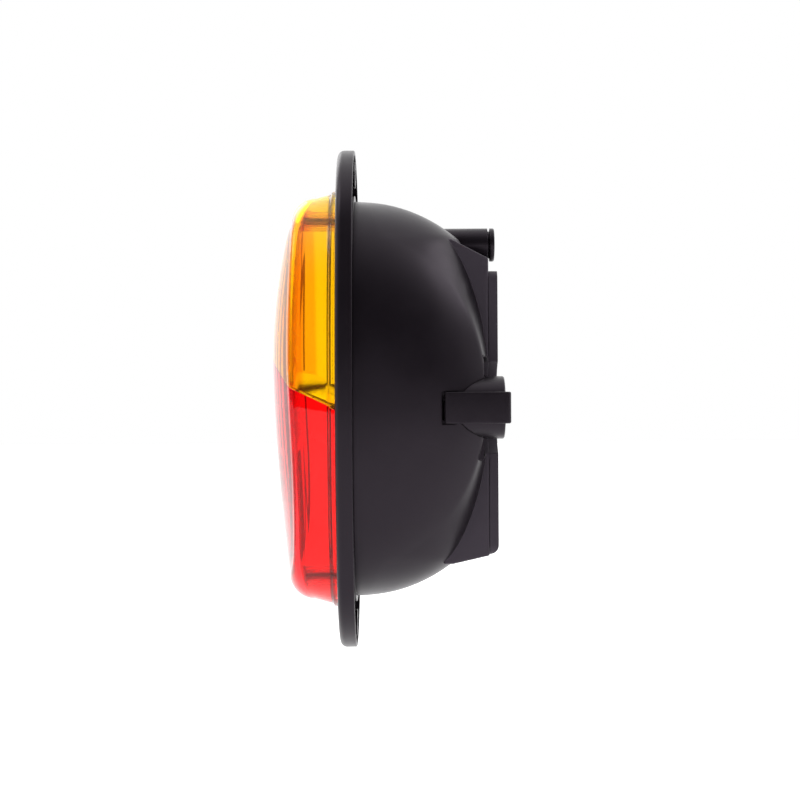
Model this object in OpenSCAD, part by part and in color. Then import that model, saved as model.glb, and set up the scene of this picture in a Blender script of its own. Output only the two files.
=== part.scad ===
// Oval two-chamber trailer tail light for flush mounting in a rear panel.
// Frame: the lens looks along -Y, the housing goes back along +Y, +Z is up. The origin is
// midway between the two ear screw holes, on the rear face of the flange (the panel plane).

/* [Flange] */
// Overall height of the flange, tip to tip
flange_h = 245; // [240:1:250]
// Overall width of the flange
flange_w = 136; // [134:1:142]
// Thickness of the flange
flange_t = 8; // [7.5:0.1:8.5]
// Distance between the two ear screw holes
ear_pitch = 222; // [220:1:224]
// Diameter of the ear screw holes
ear_hole_d = 5.5; // [4.5:0.1:6]

/* [Lens] */
// Width of the lens body where it meets its base lip
lens_w = 118; // [116:1:120]
// Height of the lens body where it meets its base lip
lens_h = 202; // [200:1:204]
// How far the lens front stands ahead of the panel plane
lens_depth = 41; // [40:0.5:43]
// Wall thickness of the lens
lens_wall = 2.2; // [1.8:0.1:2.5]
// Height at which the amber and red lenses meet, at the lens front
division_z = 20.6; // [18:0.2:22]

/* [Rear housing] */
// Width of the domed housing at the flange
dome_w = 128; // [127:1:130]
// Height of the domed housing at the flange
dome_h = 194; // [193:0.5:197]
// Width of the wiring box on the back of the dome
box_w = 56; // [54:1:58]
// Plane of the wiring box that the cover closes
cover_seat_y = 64.2; // [64:0.1:64.6]
// Thickness of the rear cover
cover_t = 4.3; // [4:0.1:5]

/* [Bulbs] */
// Height of the turn bulb's axis
turn_z = 41; // [40:0.5:42]
// Height of the stop and tail bulb's axis
stop_z = -38; // [-40:0.5:-37]
// Distance from the panel plane back to the filaments
filament_y = 8.3; // [8:0.1:9]
// Diameter of the bulb glass
glass_d = 25; // [24:0.5:25.5]
// Diameter of the bayonet cap
cap_d = 15; // [14.8:0.1:15.2]
// Turn of a bulb between locked and free
twist = 20; // [15:1:24]

/* [Connector] */
// Sideways place of the connector's axis
socket_x = 38; // [37.5:0.1:38.5]
// Height of the connector's axis
socket_z = -4.5; // [-5:0.1:-4]
// Outer diameter of the connector shell
socket_d = 29.5; // [29:0.1:30]
// Plane of the connector's mouth
socket_mouth_y = 70.5; // [70:0.5:71]
// Number of contact pins around the centre pin
ring_pins = 4; // [3:1:6]

/* [Latch] */
// Height of the latch plate
latch_h = 14.6; // [14:0.2:15]
// Outer face of the latch plate
latch_face_x = 57.2; // [57:0.1:58]

/* [Hidden] */
$fn = 48;

// Colours
black = [0.14, 0.13, 0.14];
rubber = [0.08, 0.08, 0.08];
amber = [1.0, 0.6, 0.05];
red = [0.85, 0.1, 0.12];
chrome = [0.85, 0.86, 0.88];
steel = [0.7, 0.7, 0.72];
brass = [0.8, 0.65, 0.3];
resin = [0.35, 0.24, 0.16];
clear = [0.85, 0.92, 0.95];

// Flange: an oval of four arcs
flange_end_r = 58;
flange_edge_r = 3;
rim_w = 1.8;
recess_depth = 4;
recess_from_z = 70;
ear_boss_r = 6.5;
ear_head_r = 5.2;
ear_head_depth = 3;
seat_y = -3.5;
opening = [110, 160, 46];
lip_opening = [104, 154, 43];
lens_screw_z = 88;
screw_boss_r = 5;
screw_boss_y = 8;
pilot_r = 1.9;
groove_depth = 1.5;
groove_outer_r = 52;
groove_inner_r = 50;

// Lens: a superellipse outline, with the front bowed both ways
lens_power = 2.4;
lip_y = -11;
lip_w = 1.4;
draft = 2.4;
// The front corner is tight at the sides and wide at the top and bottom ends
corner_r = 2.4;
corner_end_r = 13.4;
inner_corner_r = 6;
inner_end_r = 12;
end_from = 0.72;
crown_z = 15;
crown_drop = 6.9;
crown_up = 64;
crown_down = 94;
// The top of the front falls back further from this height
tip_from_z = 75;
tip_span = 12;
tip_drop = 1.4;
top_draft_less = 0.6;
side_drop = 0.0037;
// The dividing surface slopes down towards the sides and back towards the flange
divide_bow = 0.00338;
divide_slope = 0.408;
lens_columns = 28;
// Depths at which the wall bends and at which its front corner is laid out
wall_bend_y = -16.5;
corner_level_y = -29;
foot_inset = 2.6;

// Lens screws, in their tubes
screw_seat_y = -25.4;
screw_top_y = -27.8;
screw_head_r = 3.9;
screw_shank_r = 1.8;
head_room_r = 4.3;
shank_room_r = 2.3;

// Bulb and socket stations along Y
reflector_front_y = -5.3;
focus_back = filament_y - seat_y;
cap_front_y = filament_y + 22.7;
pin_y = filament_y + 31.8;
cap_back_y = pin_y + 6.5;
contact_y = pin_y + 8;
socket_front_y = 33;
socket_back_y = 55.5;
fit = 0.08;
socket_wall = 0.8;
bulb_hole_r = 10.3;
bayonet_pin_r = 1;
bayonet_reach = 8.9;
stud_gap = 0.05;
spring_wire_r = 0.3;

// Dome: an ellipsoid's sides that break at a crease into a flatter back
dome_a = dome_w / 2;
dome_c = dome_h / 2;
dome_b = 84;
dome_power = 2.35;
back_depth = 65;
back_c = 125;
dome_wall = 2.5;
inner_scale = [1 - dome_wall / dome_a, 1 - dome_wall / dome_b, 1 - dome_wall / dome_c];
crease_half = 43;
back_power = 4;
dome_rows = 26;
side_steps = 6;
back_steps = 14;

// Wiring box, pocket and cable outlet
box_wall = 2.5;
box_front_y = 46.5;
box_root_y = 42;
box_end_low_z = -79.4;
box_end_top_z = 76.2;
box_half = box_w / 2;
cover_top_z = 61;
box_top_z = 67;
box_low_z = -75.4;
cover_y = cover_seat_y + cover_t;
cover_low_r = 4.8;
cover_corner_r = 5;
pocket_r = 24;
pocket_y = 60.8;
pocket_edge_x = 42.5;
gasket_y = 63.4;
cover_screw_x = 20.8;
cover_screw_zs = [54, -67];
cover_post_r = 4.8;
cover_hole_r = 1.8;
cover_sink_r = 3.4;
cover_sink = 2.2;
cover_head_r = 3;
cover_head_low = 0.2;
cover_shank_r = 1.45;
cover_screw_end_y = 54;
outlet_z = 76;
outlet_r = 8.2;
outlet_end_y = 68.6;
outlet_start_y = 44;
outlet_bore_r = 5;

// Connector stations
socket_r = socket_d / 2;
cavity_r = 12;
shell_start_y = 48.2;
shell_floor_y = 50.7;
insert_y = 55;
pin_circle_r = 6;
pin_tip_y = 65;
pin_tail_y = 43;
contact_pin_r = 1.2;

// Latch, hinged on a pin that lies along Z
latch_z = socket_z;
latch_pin_x = 51;
latch_pin_y = 44.5;
latch_pin_r = 1.5;
knuckle_r = 2.9;
latch_front_y = 42.2;
latch_end_y = 72.7;
latch_t = 3.2;
hook_y = 70.9;
hook_x = 49.4;
block_x = 52.4;
block_back_y = 47.8;
block_front_y = 38;
cheek_in = 5.8;
recess_front_y = 40.8;

// ---- Helpers ----

// Draws a 2D shape, given in X and Z, as a slab from y0 to y1.
module slab(y0, y1) {
    translate([0, y1, 0]) rotate([90, 0, 0]) linear_extrude(y1 - y0) children();
}

// A round bar along Y.
module bar(x, z, y0, y1, r) {
    translate([x, y1, z]) rotate([90, 0, 0]) cylinder(h = y1 - y0, r = r);
}

// A round bar along Y with a bore right through it.
module sleeve(x, z, y0, y1, r, bore) {
    difference() {
        bar(x, z, y0, y1, r);
        bar(x, z, y0 - 1, y1 + 1, bore);
    }
}

// Turns a profile, given as radius and Y, around an axis along Y through x, z.
module turned(x, z) {
    translate([x, 0, z]) rotate([90, 0, 0]) rotate_extrude() mirror([0, 1]) children();
}

// Radius of the long side arcs of a four-arc oval.
function side_r(w, h, r) = (w * w / 4 + pow(h / 2 - r, 2) - r * r) / (w - 2 * r);

// Points along an arc about c.
function arc(c, r, from, to, steps) = [
    for (i = [0:steps - 1])
    let (a = from + (to - from) * i / steps)
    c + r * [cos(a), sin(a)]
];

// A four-arc oval: two long side arcs and two round ends.
module oval(w, h, r) {
    big = side_r(w, h, r);
    half_turn = asin((h / 2 - r) / (big - r));
    side = [w / 2 - big, 0];
    end = [0, h / 2 - r];
    polygon(concat(
        arc(side, big, -half_turn, half_turn, 20),
        arc(end, r, half_turn, 180 - half_turn, 20),
        arc(-side, big, 180 - half_turn, 180 + half_turn, 20),
        arc(-end, r, 180 + half_turn, 360 - half_turn, 20)
    ));
}

// A helix along Z, from h = 0, as a swept tube.
module coil(r, wire, turns, h) {
    sides = 6;
    steps = 14 * turns;
    points = [
        for (i = [0:steps], k = [0:sides - 1])
        let (a = 360 * turns * i / steps, b = 360 * k / sides, q = r + wire * cos(b))
        [q * cos(a), q * sin(a), wire + (h - 2 * wire) * i / steps + wire * sin(b)]
    ];
    faces = [
        [for (k = [0:sides - 1]) k],
        for (i = [0:steps - 1], k = [0:sides - 1])
        let (a = i * sides, b = a + sides, n = (k + 1) % sides)
        [a + k, b + k, b + n, a + n],
        [for (k = [sides - 1:-1:0]) steps * sides + k]
    ];
    polyhedron(points, faces, convexity = 10);
}

// ---- Lens surface ----

// How far the lens front has fallen back, at height z, along its middle.
function crown(z) = tip_drop * pow(max(z - tip_from_z, 0) / tip_span, 2) + crown_drop * (z > crown_z
    ? pow((z - crown_z) / crown_up, 2)
    : pow((crown_z - z) / crown_down, 1.5));

// Y of the lens front.
function front_y(x, z) = -(lens_depth - crown(z) - side_drop * x * x);

// Height of the surface between the amber and red lenses.
function divide_z(x, y) = division_z - divide_bow * x * x - divide_slope * (y + lens_depth);

// The same height on the lens front, where y follows x.
function front_divide_z(x) = division_z - (divide_bow + divide_slope * side_drop) * x * x;

function signed_pow(v, p) = sign(v) * pow(abs(v), p);

// A point on the lens outline, drawn in by d, at depth y. q runs from 0 to 1 over the upper
// outline (up = 1) or the lower (up = -1), from one end of the dividing surface to the other.
function outline_point(q, d, y, up) =
    let (
        a = lens_w / 2 - d,
        b = lens_h / 2 - d,
        z_side = divide_z(a, y),
        start = asin(signed_pow(z_side / b, lens_power / 2)),
        turn = up > 0 ? start + q * (180 - 2 * start) : start - q * (180 + 2 * start)
    )
    [a * signed_pow(cos(turn), 2 / lens_power), b * signed_pow(sin(turn), 2 / lens_power)];

// How far a place on the outline is into the rounder ends: 0 at the sides, 1 at the tips.
function end_share(q, up) =
    let (z = outline_point(q, 0, lip_y, up)[1], into = (abs(z) * 2 / lens_h - end_from) / (1 - end_from))
    pow(max(0, into), 2);

function side_draft(q, up, skin) =
    draft - (up > 0 ? top_draft_less * end_share(q, up) : 0) + skin * lens_wall;

function corner_radius(q, up, skin) =
    let (from = skin == 0 ? corner_r : inner_corner_r, to = skin == 0 ? corner_end_r : inner_end_r)
    from + (to - from) * end_share(q, up);

// The lens walls, as [how far in from the outline, Y]. Rings past the walls are on the rounded
// corner, whose place depends on the front.
function wall_rings(skin) = skin == 0
    ? [[-lip_w, -flange_t], [-lip_w, lip_y], [0, lip_y - 0.4], [draft * 0.3, wall_bend_y]]
    : [[foot_inset, -flange_t], [foot_inset + 0.1, lip_y], [foot_inset + 0.2, lip_y - 0.4],
       [draft * 0.3 + lens_wall + 0.2, wall_bend_y]];
corner_steps = 5;
front_steps = 6;

function wall_point(ring, q, up) =
    let (p = outline_point(q, ring[0], ring[1], up))
    [p[0], ring[1], p[1]];

function corner_point(i, q, up, skin) =
    let (
        r = corner_radius(q, up, skin),
        side = side_draft(q, up, skin),
        a = 90 * i / corner_steps,
        edge = outline_point(q, side + r, corner_level_y, up),
        y = front_y(edge[0], edge[1]) + skin * lens_wall + r - r * sin(a),
        p = outline_point(q, side + r - r * cos(a), y, up)
    )
    [p[0], y, p[1]];

function front_point(i, q, up, skin) =
    let (
        s = 1 - i / front_steps,
        inset = side_draft(q, up, skin) + corner_radius(q, up, skin),
        edge = outline_point(q, inset, corner_level_y, up),
        x = s * edge[0],
        z = front_divide_z(x) + s * (edge[1] - front_divide_z(edge[0]))
    )
    [x, front_y(x, z) + skin * lens_wall, z];

// All the rings of one skin of a half lens, without the middle point.
function lens_rings(up, skin) = [
    for (ring = wall_rings(skin)) [for (k = [0:lens_columns]) wall_point(ring, k / lens_columns, up)],
    for (i = [0:corner_steps - 1]) [
        for (k = [0:lens_columns]) corner_point(i, k / lens_columns, up, skin)
    ],
    for (i = [0:front_steps - 1]) [
        for (k = [0:lens_columns]) front_point(i, k / lens_columns, up, skin)
    ]
];

// One half of the lens shell: the outer skin, the inner skin, and the edges that join them.
module lens_half(up) {
    outer = lens_rings(up, 0);
    inner = lens_rings(up, 1);
    rows = len(outer);
    cols = lens_columns + 1;
    skin = rows * cols;
    middle = 2 * skin;
    points = [
        for (ring = outer) each ring,
        for (ring = inner) each ring,
        [0, front_y(0, division_z), division_z],
        [0, front_y(0, division_z) + lens_wall, division_z]
    ];
    at = function(s, i, k) s * skin + i * cols + k;
    faces = [
        for (s = [0, 1], i = [0:rows - 2], k = [0:cols - 2])
        let (f = [at(s, i, k), at(s, i, k + 1), at(s, i + 1, k + 1), at(s, i + 1, k)])
        each quad(s == 0 ? f : reversed(f)),
        for (s = [0, 1], k = [0:cols - 2])
        let (f = [at(s, rows - 1, k), at(s, rows - 1, k + 1), middle + s])
        s == 0 ? f : reversed(f),
        for (k = [0:cols - 2])
        each quad([at(0, 0, k + 1), at(0, 0, k), at(1, 0, k), at(1, 0, k + 1)]),
        for (i = [0:rows - 2])
        each quad([at(0, i, 0), at(0, i + 1, 0), at(1, i + 1, 0), at(1, i, 0)]),
        for (i = [0:rows - 2])
        each quad([at(1, i, cols - 1), at(1, i + 1, cols - 1), at(0, i + 1, cols - 1),
            at(0, i, cols - 1)]),
        each quad([at(0, rows - 1, 0), middle, middle + 1, at(1, rows - 1, 0)]),
        each quad([at(1, rows - 1, cols - 1), middle + 1, middle, at(0, rows - 1, cols - 1)])
    ];
    polyhedron(points, up > 0 ? [for (f = faces) reversed(f)] : faces, convexity = 10);
}

function reversed(list) = [for (i = [len(list) - 1:-1:0]) list[i]];

// Splits a four-sided face into two triangles.
function quad(f) = [[f[0], f[1], f[2]], [f[0], f[2], f[3]]];

// ---- Dome surface ----

// Depth of the ellipsoid along its middle, and half its width at the flange.
function dome_middle_y(z) = dome_b * sqrt(max(0, 1 - pow(z / dome_c, 2)));

function dome_edge_x(z) =
    dome_a * pow(max(0, 1 - pow(abs(z) / dome_c, dome_power)), 1 / dome_power);

function dome_side_y(x, z) =
    dome_middle_y(z) * sqrt(max(0, 1 - pow(x / dome_edge_x(z), 2)));

function crease_x(z) = min(crease_half, 0.97 * dome_edge_x(z));

function middle_y(z) =
    min(back_depth * sqrt(max(0, 1 - pow(z / back_c, 2))), dome_middle_y(z));

// Y of the back of the dome, between its two creases.
function back_y(x, z) =
    let (edge = dome_side_y(crease_x(z), z))
    middle_y(z) - (middle_y(z) - edge) * pow(abs(x) / crease_x(z), back_power);

// One row of the dome at height z, from the rim at +X over the back to the rim at -X.
function dome_row(z) =
    let (
        edge_y = dome_side_y(crease_x(z), z),
        rise = [for (i = [0:side_steps - 1]) edge_y * sin(90 * i / side_steps)],
        side = [
            for (y = rise)
            [dome_edge_x(z) * sqrt(max(0, 1 - pow(y / dome_middle_y(z), 2))), y, z]
        ],
        back = [
            for (i = [0:back_steps])
            let (x = crease_x(z) * (1 - 2 * i / back_steps))
            [x, back_y(x, z), z]
        ]
    )
    concat(side, back, [for (p = reversed(side)) [-p[0], p[1], p[2]]]);

module dome_shell() {
    heights = [for (j = [1:dome_rows - 1]) dome_c * sin(180 * j / dome_rows - 90)];
    outer = [for (z = heights) dome_row(z)];
    inner = [for (row = outer) [for (p = row) [for (k = [0:2]) p[k] * inner_scale[k]]]];
    rows = len(outer);
    cols = len(outer[0]);
    skin = rows * cols;
    tips = 2 * skin;
    points = [
        for (row = outer) each row,
        for (row = inner) each row,
        for (s = [1, inner_scale[2]], end = [-1, 1]) [0, 0, end * dome_c * s]
    ];
    at = function(s, j, k) s * skin + j * cols + k;
    tip = function(s, end) tips + 2 * s + end;
    faces = [
        for (s = [0, 1], j = [0:rows - 2], k = [0:cols - 2])
        let (f = [at(s, j, k), at(s, j, k + 1), at(s, j + 1, k + 1), at(s, j + 1, k)])
        each quad(s == 0 ? reversed(f) : f),
        for (s = [0, 1], k = [0:cols - 2])
        let (f = [tip(s, 0), at(s, 0, k + 1), at(s, 0, k)])
        s == 0 ? reversed(f) : f,
        for (s = [0, 1], k = [0:cols - 2])
        let (f = [tip(s, 1), at(s, rows - 1, k), at(s, rows - 1, k + 1)])
        s == 0 ? reversed(f) : f,
        for (j = [0:rows - 2], k = [0, cols - 1])
        let (f = [at(0, j, k), at(0, j + 1, k), at(1, j + 1, k), at(1, j, k)])
        each quad(k == 0 ? reversed(f) : f),
        for (k = [0, cols - 1])
        let (f = [tip(0, 0), at(0, 0, k), at(1, 0, k), tip(1, 0)])
        each quad(k == 0 ? reversed(f) : f),
        for (k = [0, cols - 1])
        let (f = [at(0, rows - 1, k), tip(0, 1), tip(1, 1), at(1, rows - 1, k)])
        each quad(k == 0 ? reversed(f) : f)
    ];
    polyhedron(points, faces, convexity = 10);
}

// ---- Front ----

module mounting_flange() {
    color(black) difference() {
        union() {
            for (a = [0:22.5:90]) {
                inset = flange_edge_r * (1 - sin(a));
                slab(-flange_t + flange_edge_r * (1 - cos(a)), 0)
                    oval(flange_w - 2 * inset, flange_h - 2 * inset, flange_end_r - inset);
            }
            for (s = [-1, 1]) bar(0, s * lens_screw_z, -1, screw_boss_y, screw_boss_r);
        }
        slab(-flange_t - 1, seat_y) oval(opening[0], opening[1], opening[2]);
        slab(seat_y - 1, 1) oval(lip_opening[0], lip_opening[1], lip_opening[2]);
        gasket_channel();
        ear_recess();
        for (s = [-1, 1]) {
            bar(0, s * ear_pitch / 2, -flange_t - 1, 1, ear_hole_d / 2);
            bar(0, s * ear_pitch / 2, -flange_t - 1, -flange_t + ear_head_depth, ear_head_r);
            bar(0, s * lens_screw_z, -flange_t - 1, screw_boss_y - 2, pilot_r);
        }
    }
}

// The ring under the lens's edge, where the flange has a groove and the gasket fills it.
module gasket_channel() {
    slab(-flange_t, -flange_t + groove_depth) difference() {
        oval(lens_w, lens_h + 1, groove_outer_r);
        oval(lens_w - 4, lens_h - 3, groove_inner_r);
    }
}

// Shallow recess in the rear face of each ear, inside a rim.
module ear_recess() {
    slab(-recess_depth, 1) difference() {
        oval(flange_w - 2 * rim_w, flange_h - 2 * rim_w, flange_end_r - rim_w);
        oval(dome_w + 4, dome_h + 4, 57);
        square([flange_w, 2 * recess_from_z], center = true);
        for (s = [-1, 1]) translate([0, s * ear_pitch / 2]) circle(ear_boss_r);
    }
}

module lens_gasket() {
    color(rubber) gasket_channel();
}

// A tube through the lens for a screw, from its front down to the flange. It reaches further
// forward on the side away from the rounded end.
module screw_tube(z) {
    top = front_y(0, z) + lens_wall / 2;
    bar(0, z, top + 1.6, -flange_t, screw_boss_r);
    intersection() {
        bar(0, z, top, -flange_t, screw_boss_r);
        translate([-10, -60, z > 0 ? z - 10 : z]) cube([20, 60, 10]);
    }
}

module screw_way(z) {
    bar(0, z, -60, screw_seat_y, head_room_r);
    bar(0, z, -60, 0, shank_room_r);
}

module lens_amber() {
    color(amber) difference() {
        union() {
            lens_half(1);
            screw_tube(lens_screw_z);
        }
        screw_way(lens_screw_z);
    }
}

module lens_red() {
    color(red) difference() {
        union() {
            lens_half(-1);
            screw_tube(-lens_screw_z);
        }
        screw_way(-lens_screw_z);
    }
}

module lens_screws() {
    color(steel) for (s = [-1, 1]) difference() {
        union() {
            bar(0, s * lens_screw_z, screw_top_y, screw_seat_y, screw_head_r);
            bar(0, s * lens_screw_z, screw_seat_y, screw_boss_y - 3, screw_shank_r);
        }
        cross_slot(0, s * lens_screw_z, screw_top_y);
    }
}

// A cross recess in a screw head whose top is at y and looks towards -Y.
module cross_slot(x, z, y) {
    for (a = [0, 90]) translate([x, y, z]) rotate([0, a, 0]) cube([4, 2.4, 0.9], center = true);
}

// Closes a curved plate from its two skins, given as one list of points: the first skin's
// rows of n points, then the second skin's. The second skin lies below or in front of the first.
module curved_plate(points, n) {
    rows = len(points) / n / 2;
    at = function(s, i, k) (s * rows + i) * n + k;
    faces = [
        for (s = [0, 1], i = [0:rows - 2], k = [0:n - 2])
        let (f = [at(s, i, k), at(s, i + 1, k), at(s, i + 1, k + 1), at(s, i, k + 1)])
        each quad(s == 0 ? f : reversed(f)),
        for (i = [0:rows - 2], k = [0, n - 1])
        let (f = [at(0, i, k), at(0, i + 1, k), at(1, i + 1, k), at(1, i, k)])
        each quad(k == 0 ? reversed(f) : f),
        for (k = [0:n - 2], i = [0, rows - 1])
        let (f = [at(0, i, k), at(0, i, k + 1), at(1, i, k + 1), at(1, i, k)])
        each quad(i == 0 ? f : reversed(f))
    ];
    polyhedron(points, faces, convexity = 6);
}

// A curved pad of prisms behind the red lens.
module reflex_reflector() {
    half_w = 31;
    low = -77;
    high = -26;
    thick = 2;
    steps = 8;
    color([0.7, 0.05, 0.08]) curved_plate([
        for (s = [1, 0], i = [0:steps], k = [0:steps])
        let (
            x = half_w * (2 * i / steps - 1),
            z = low + (high - low) * k / steps
        )
        [x, front_y(x, z) + lens_wall + 0.3 + thick * s, z]
    ], steps + 1);
}

// The wall between the two chambers, just under the surface where the lenses meet.
module chamber_divider() {
    half_w = 52.5;
    top_gap = 0.3;
    thick = 1.4;
    steps = 20;
    depth_steps = 4;
    front_gap = lens_wall + 0.6;
    color(chrome) curved_plate([
        for (s = [0, 1], i = [0:steps], k = [0:depth_steps])
        let (
            x = half_w * (2 * i / steps - 1),
            y_front = -lens_depth + side_drop * x * x + front_gap,
            y = reflector_front_y + (y_front - reflector_front_y) * k / depth_steps
        )
        [x, y, divide_z(x, y) - top_gap - thick * s]
    ], depth_steps + 1);
}

// Focal length of a dish of radius r whose focus lies d behind its rim.
function focal(r, d) = (sqrt(d * d + r * r) - d) / 2;

// One half of the reflector plate, with a parabolic dish around a bulb and a collar behind it.
module reflector(z, r, low, high) {
    f = focal(r, focus_back);
    vertex_y = seat_y + r * r / (4 * f);
    wall = 1.4;
    steps = 12;
    radii = [for (i = [0:steps]) bulb_hole_r + (r - bulb_hole_r) * i / steps];
    front = [for (q = radii) [q, vertex_y - q * q / (4 * f)]];
    back = [for (q = reversed(radii)) [q + wall * 0.8, vertex_y - q * q / (4 * f) + wall]];
    difference() {
        slab(reflector_front_y, seat_y) intersection() {
            oval(opening[0] - 0.6, opening[1] - 0.6, opening[2] - 0.3);
            translate([-100, low]) square([200, high - low]);
        }
        bar(0, z, reflector_front_y - 1, seat_y + 1, r);
    }
    turned(0, z) polygon(concat(front, [[r, seat_y], [r, reflector_front_y]],
        [[r + 1.1, reflector_front_y], [r + 1.1, seat_y]], back));
    sleeve(0, z, vertex_y - 1, socket_front_y, bulb_hole_r + 1.5, bulb_hole_r);
}

module reflector_upper() {
    color(chrome) reflector(turn_z, 33, 3.2, 90);
}

module reflector_lower() {
    color(chrome) reflector(stop_z, 37, -90, 2.8);
}

// ---- Bulbs and their sockets ----

// Hollow glass: a ball that narrows into a neck.
module bulb_glass(z) {
    wall = 0.8;
    r = glass_d / 2;
    neck_r = 7;
    color(clear) turned(0, z) difference() {
        glass_profile(r, neck_r, cap_front_y);
        glass_profile(r - wall, neck_r - wall, cap_front_y + 1);
    }
}

// Half outline of a bulb of ball radius r, down to a neck that ends at y_end.
module glass_profile(r, neck_r, y_end) {
    intersection() {
        translate([0, filament_y]) circle(r, $fn = 96);
        translate([0, filament_y - r]) square([r, 2 * r]);
    }
    shoulder = filament_y + r * 0.6;
    polygon([[0, shoulder], [r * 0.8, shoulder], [neck_r, shoulder + 6], [neck_r, y_end],
        [0, y_end]]);
}

// Metal cap with two bayonet pins, an insulator and one or two contacts.
module bulb_cap(z, contacts) {
    color(brass) {
        bar(0, z, cap_front_y, cap_back_y, cap_d / 2);
        translate([0, pin_y, z]) rotate([0, 90, 0])
            cylinder(h = 2 * bayonet_reach, r = bayonet_pin_r, center = true);
        bar(0, z, cap_back_y - 0.5, cap_back_y + 0.8, 6);
        for (x = contacts) bar(x, z, cap_back_y, contact_y, 1.8);
    }
}

// Filaments across the axis on two support wires.
module filament(z, places) {
    color(steel) for (y = places) {
        translate([0, y, z]) rotate([0, 90, 0]) cylinder(h = 6.4, r = 0.6, center = true);
        for (x = [-3, 3]) bar(x, z + (y - filament_y) * 0.6, y, cap_front_y, 0.25);
        for (x = [-3, 3]) translate([x, y, z + (y - filament_y) * 0.3])
            cube([0.5, 0.5, 0.5 + abs(y - filament_y) * 0.6], center = true);
    }
}

// Bayonet socket: a thin steel barrel with two J slots, and a plate on the reflector collar.
module bulb_socket(z) {
    bore = cap_d / 2 + fit;
    slot = bayonet_pin_r + 0.2;
    slot_r = bayonet_reach + 0.3;
    color(steel) difference() {
        union() {
            bar(0, z, socket_front_y, socket_back_y, bore + socket_wall);
            bar(0, z, socket_front_y, socket_front_y + 1.2, bulb_hole_r + 1.5);
        }
        bar(0, z, socket_front_y - 1, socket_back_y + 1, bore);
        for (side = [0, 180]) translate([0, 0, z]) rotate([0, side, 0]) {
            rotate([0, -twist, 0]) translate([0, (socket_front_y + pin_y) / 2 - 0.5, 0])
                translate([slot_r / 2, 0, 0])
                cube([slot_r, pin_y - socket_front_y + 2 * slot, 2 * slot], center = true);
            bayonet_arc(slot, slot_r);
        }
    }
}

// The turn of a J slot, as a ring sector about the socket's axis.
module bayonet_arc(slot, slot_r) {
    spread = 9;
    translate([0, pin_y + slot, 0]) rotate([90, 0, 0]) rotate([0, 0, -spread])
        rotate_extrude(angle = twist + 2 * spread) translate([4, 0]) square([slot_r - 4, 2 * slot]);
}

// Sprung contact: an insulating disc that carries the studs.
module sprung_contact(z, studs) {
    color(brass) {
        bar(0, z, contact_y + 1.1, contact_y + 3.1, cap_d / 2 - 0.3);
        for (x = studs) bar(x, z, contact_y + stud_gap, contact_y + 1.2, 1.6);
    }
}

module contact_spring(z) {
    color(steel) translate([0, contact_y + 3.15, z]) rotate([-90, 0, 0])
        coil(5, spring_wire_r, 4, socket_back_y - contact_y - 3.2);
}

module turn_bulb_glass() { bulb_glass(turn_z); }
module turn_bulb_cap() { bulb_cap(turn_z, [0]); }
module turn_filament() { filament(turn_z, [filament_y]); }
module turn_socket() { bulb_socket(turn_z); }
module turn_contact() { sprung_contact(turn_z, [0]); }
module turn_contact_spring() { contact_spring(turn_z); }
module stop_bulb_glass() { bulb_glass(stop_z); }
module stop_bulb_cap() { bulb_cap(stop_z, [-3, 3]); }
module stop_filament() { filament(stop_z, [filament_y, filament_y + 3]); }
module stop_socket() { bulb_socket(stop_z); }
module stop_contact() { sprung_contact(stop_z, [-3, 3]); }
module stop_contact_spring() { contact_spring(stop_z); }

// Insulating board that closes both sockets and carries the strips.
module contact_carrier() {
    color(resin) difference() {
        slab(socket_back_y, socket_back_y + 1.6) {
            translate([0, turn_z]) circle(11);
            translate([0, stop_z]) circle(11);
            translate([-8, stop_z]) square([16, turn_z - stop_z]);
        }
        for (z = [turn_z, stop_z]) bar(0, z, socket_back_y - 1, socket_back_y + 3, 1.5);
    }
}

// Brass strips on the back of the board.
module lead_frame() {
    y0 = socket_back_y + 1.6;
    color(brass) slab(y0, y0 + 0.8) {
        for (x = [-5.5, 0, 5.5]) translate([x - 1.3, stop_z + 4]) square([2.6, 34 + 2 * abs(x)]);
        translate([-1.3, 12]) square([2.6, turn_z - 16]);
    }
}

// Insulated leads from the connector's tails to the strips, each bent in a plain dog-leg.
module lead_wires() {
    colours = [[0.8, 0.75, 0.1], [0.9, 0.9, 0.9], [0.1, 0.45, 0.2], [0.75, 0.1, 0.1]];
    landings = [22, 11, -12, -22];
    y_strip = socket_back_y + 3.4;
    for (i = [0:3]) {
        a = 90 * i + 45;
        x = socket_x + pin_circle_r * cos(a);
        z = socket_z + pin_circle_r * sin(a);
        y_low = pin_tail_y - (cos(a) > 0 ? 6.4 : 4);
        color(colours[i]) tube([
            [x, pin_tail_y - 0.1, z], [x, y_low, z], [x - 5, y_low - 2, z], [18, y_low, landings[i]],
            [11, y_low + 3, landings[i]], [11, y_strip - 2, landings[i]], [9.5, y_strip, landings[i]],
            [6, y_strip, landings[i]]
        ], 0.9);
    }
}

// A round tube along a list of points, as an eight-sided sweep.
module tube(path, r) {
    sides = 8;
    last = len(path) - 1;
    along = [
        for (i = [0:last])
        let (d = path[min(i + 1, last)] - path[max(i - 1, 0)])
        d / norm(d)
    ];
    points = [
        for (i = [0:last])
        let (
            side = cross(along[i], abs(along[i][2]) < 0.9 ? [0, 0, 1] : [1, 0, 0]),
            u = side / norm(side),
            v = cross(along[i], u)
        )
        for (k = [0:sides - 1])
        path[i] + r * (u * cos(360 * k / sides) + v * sin(360 * k / sides))
    ];
    faces = [
        [for (k = [sides - 1:-1:0]) k],
        for (i = [0:last - 1], k = [0:sides - 1])
        let (a = i * sides, b = a + sides, n = (k + 1) % sides)
        each quad([a + k, a + n, b + n, b + k]),
        [for (k = [0:sides - 1]) last * sides + k]
    ];
    polyhedron(points, faces, convexity = 6);
}

// ---- Rear housing ----

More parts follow.
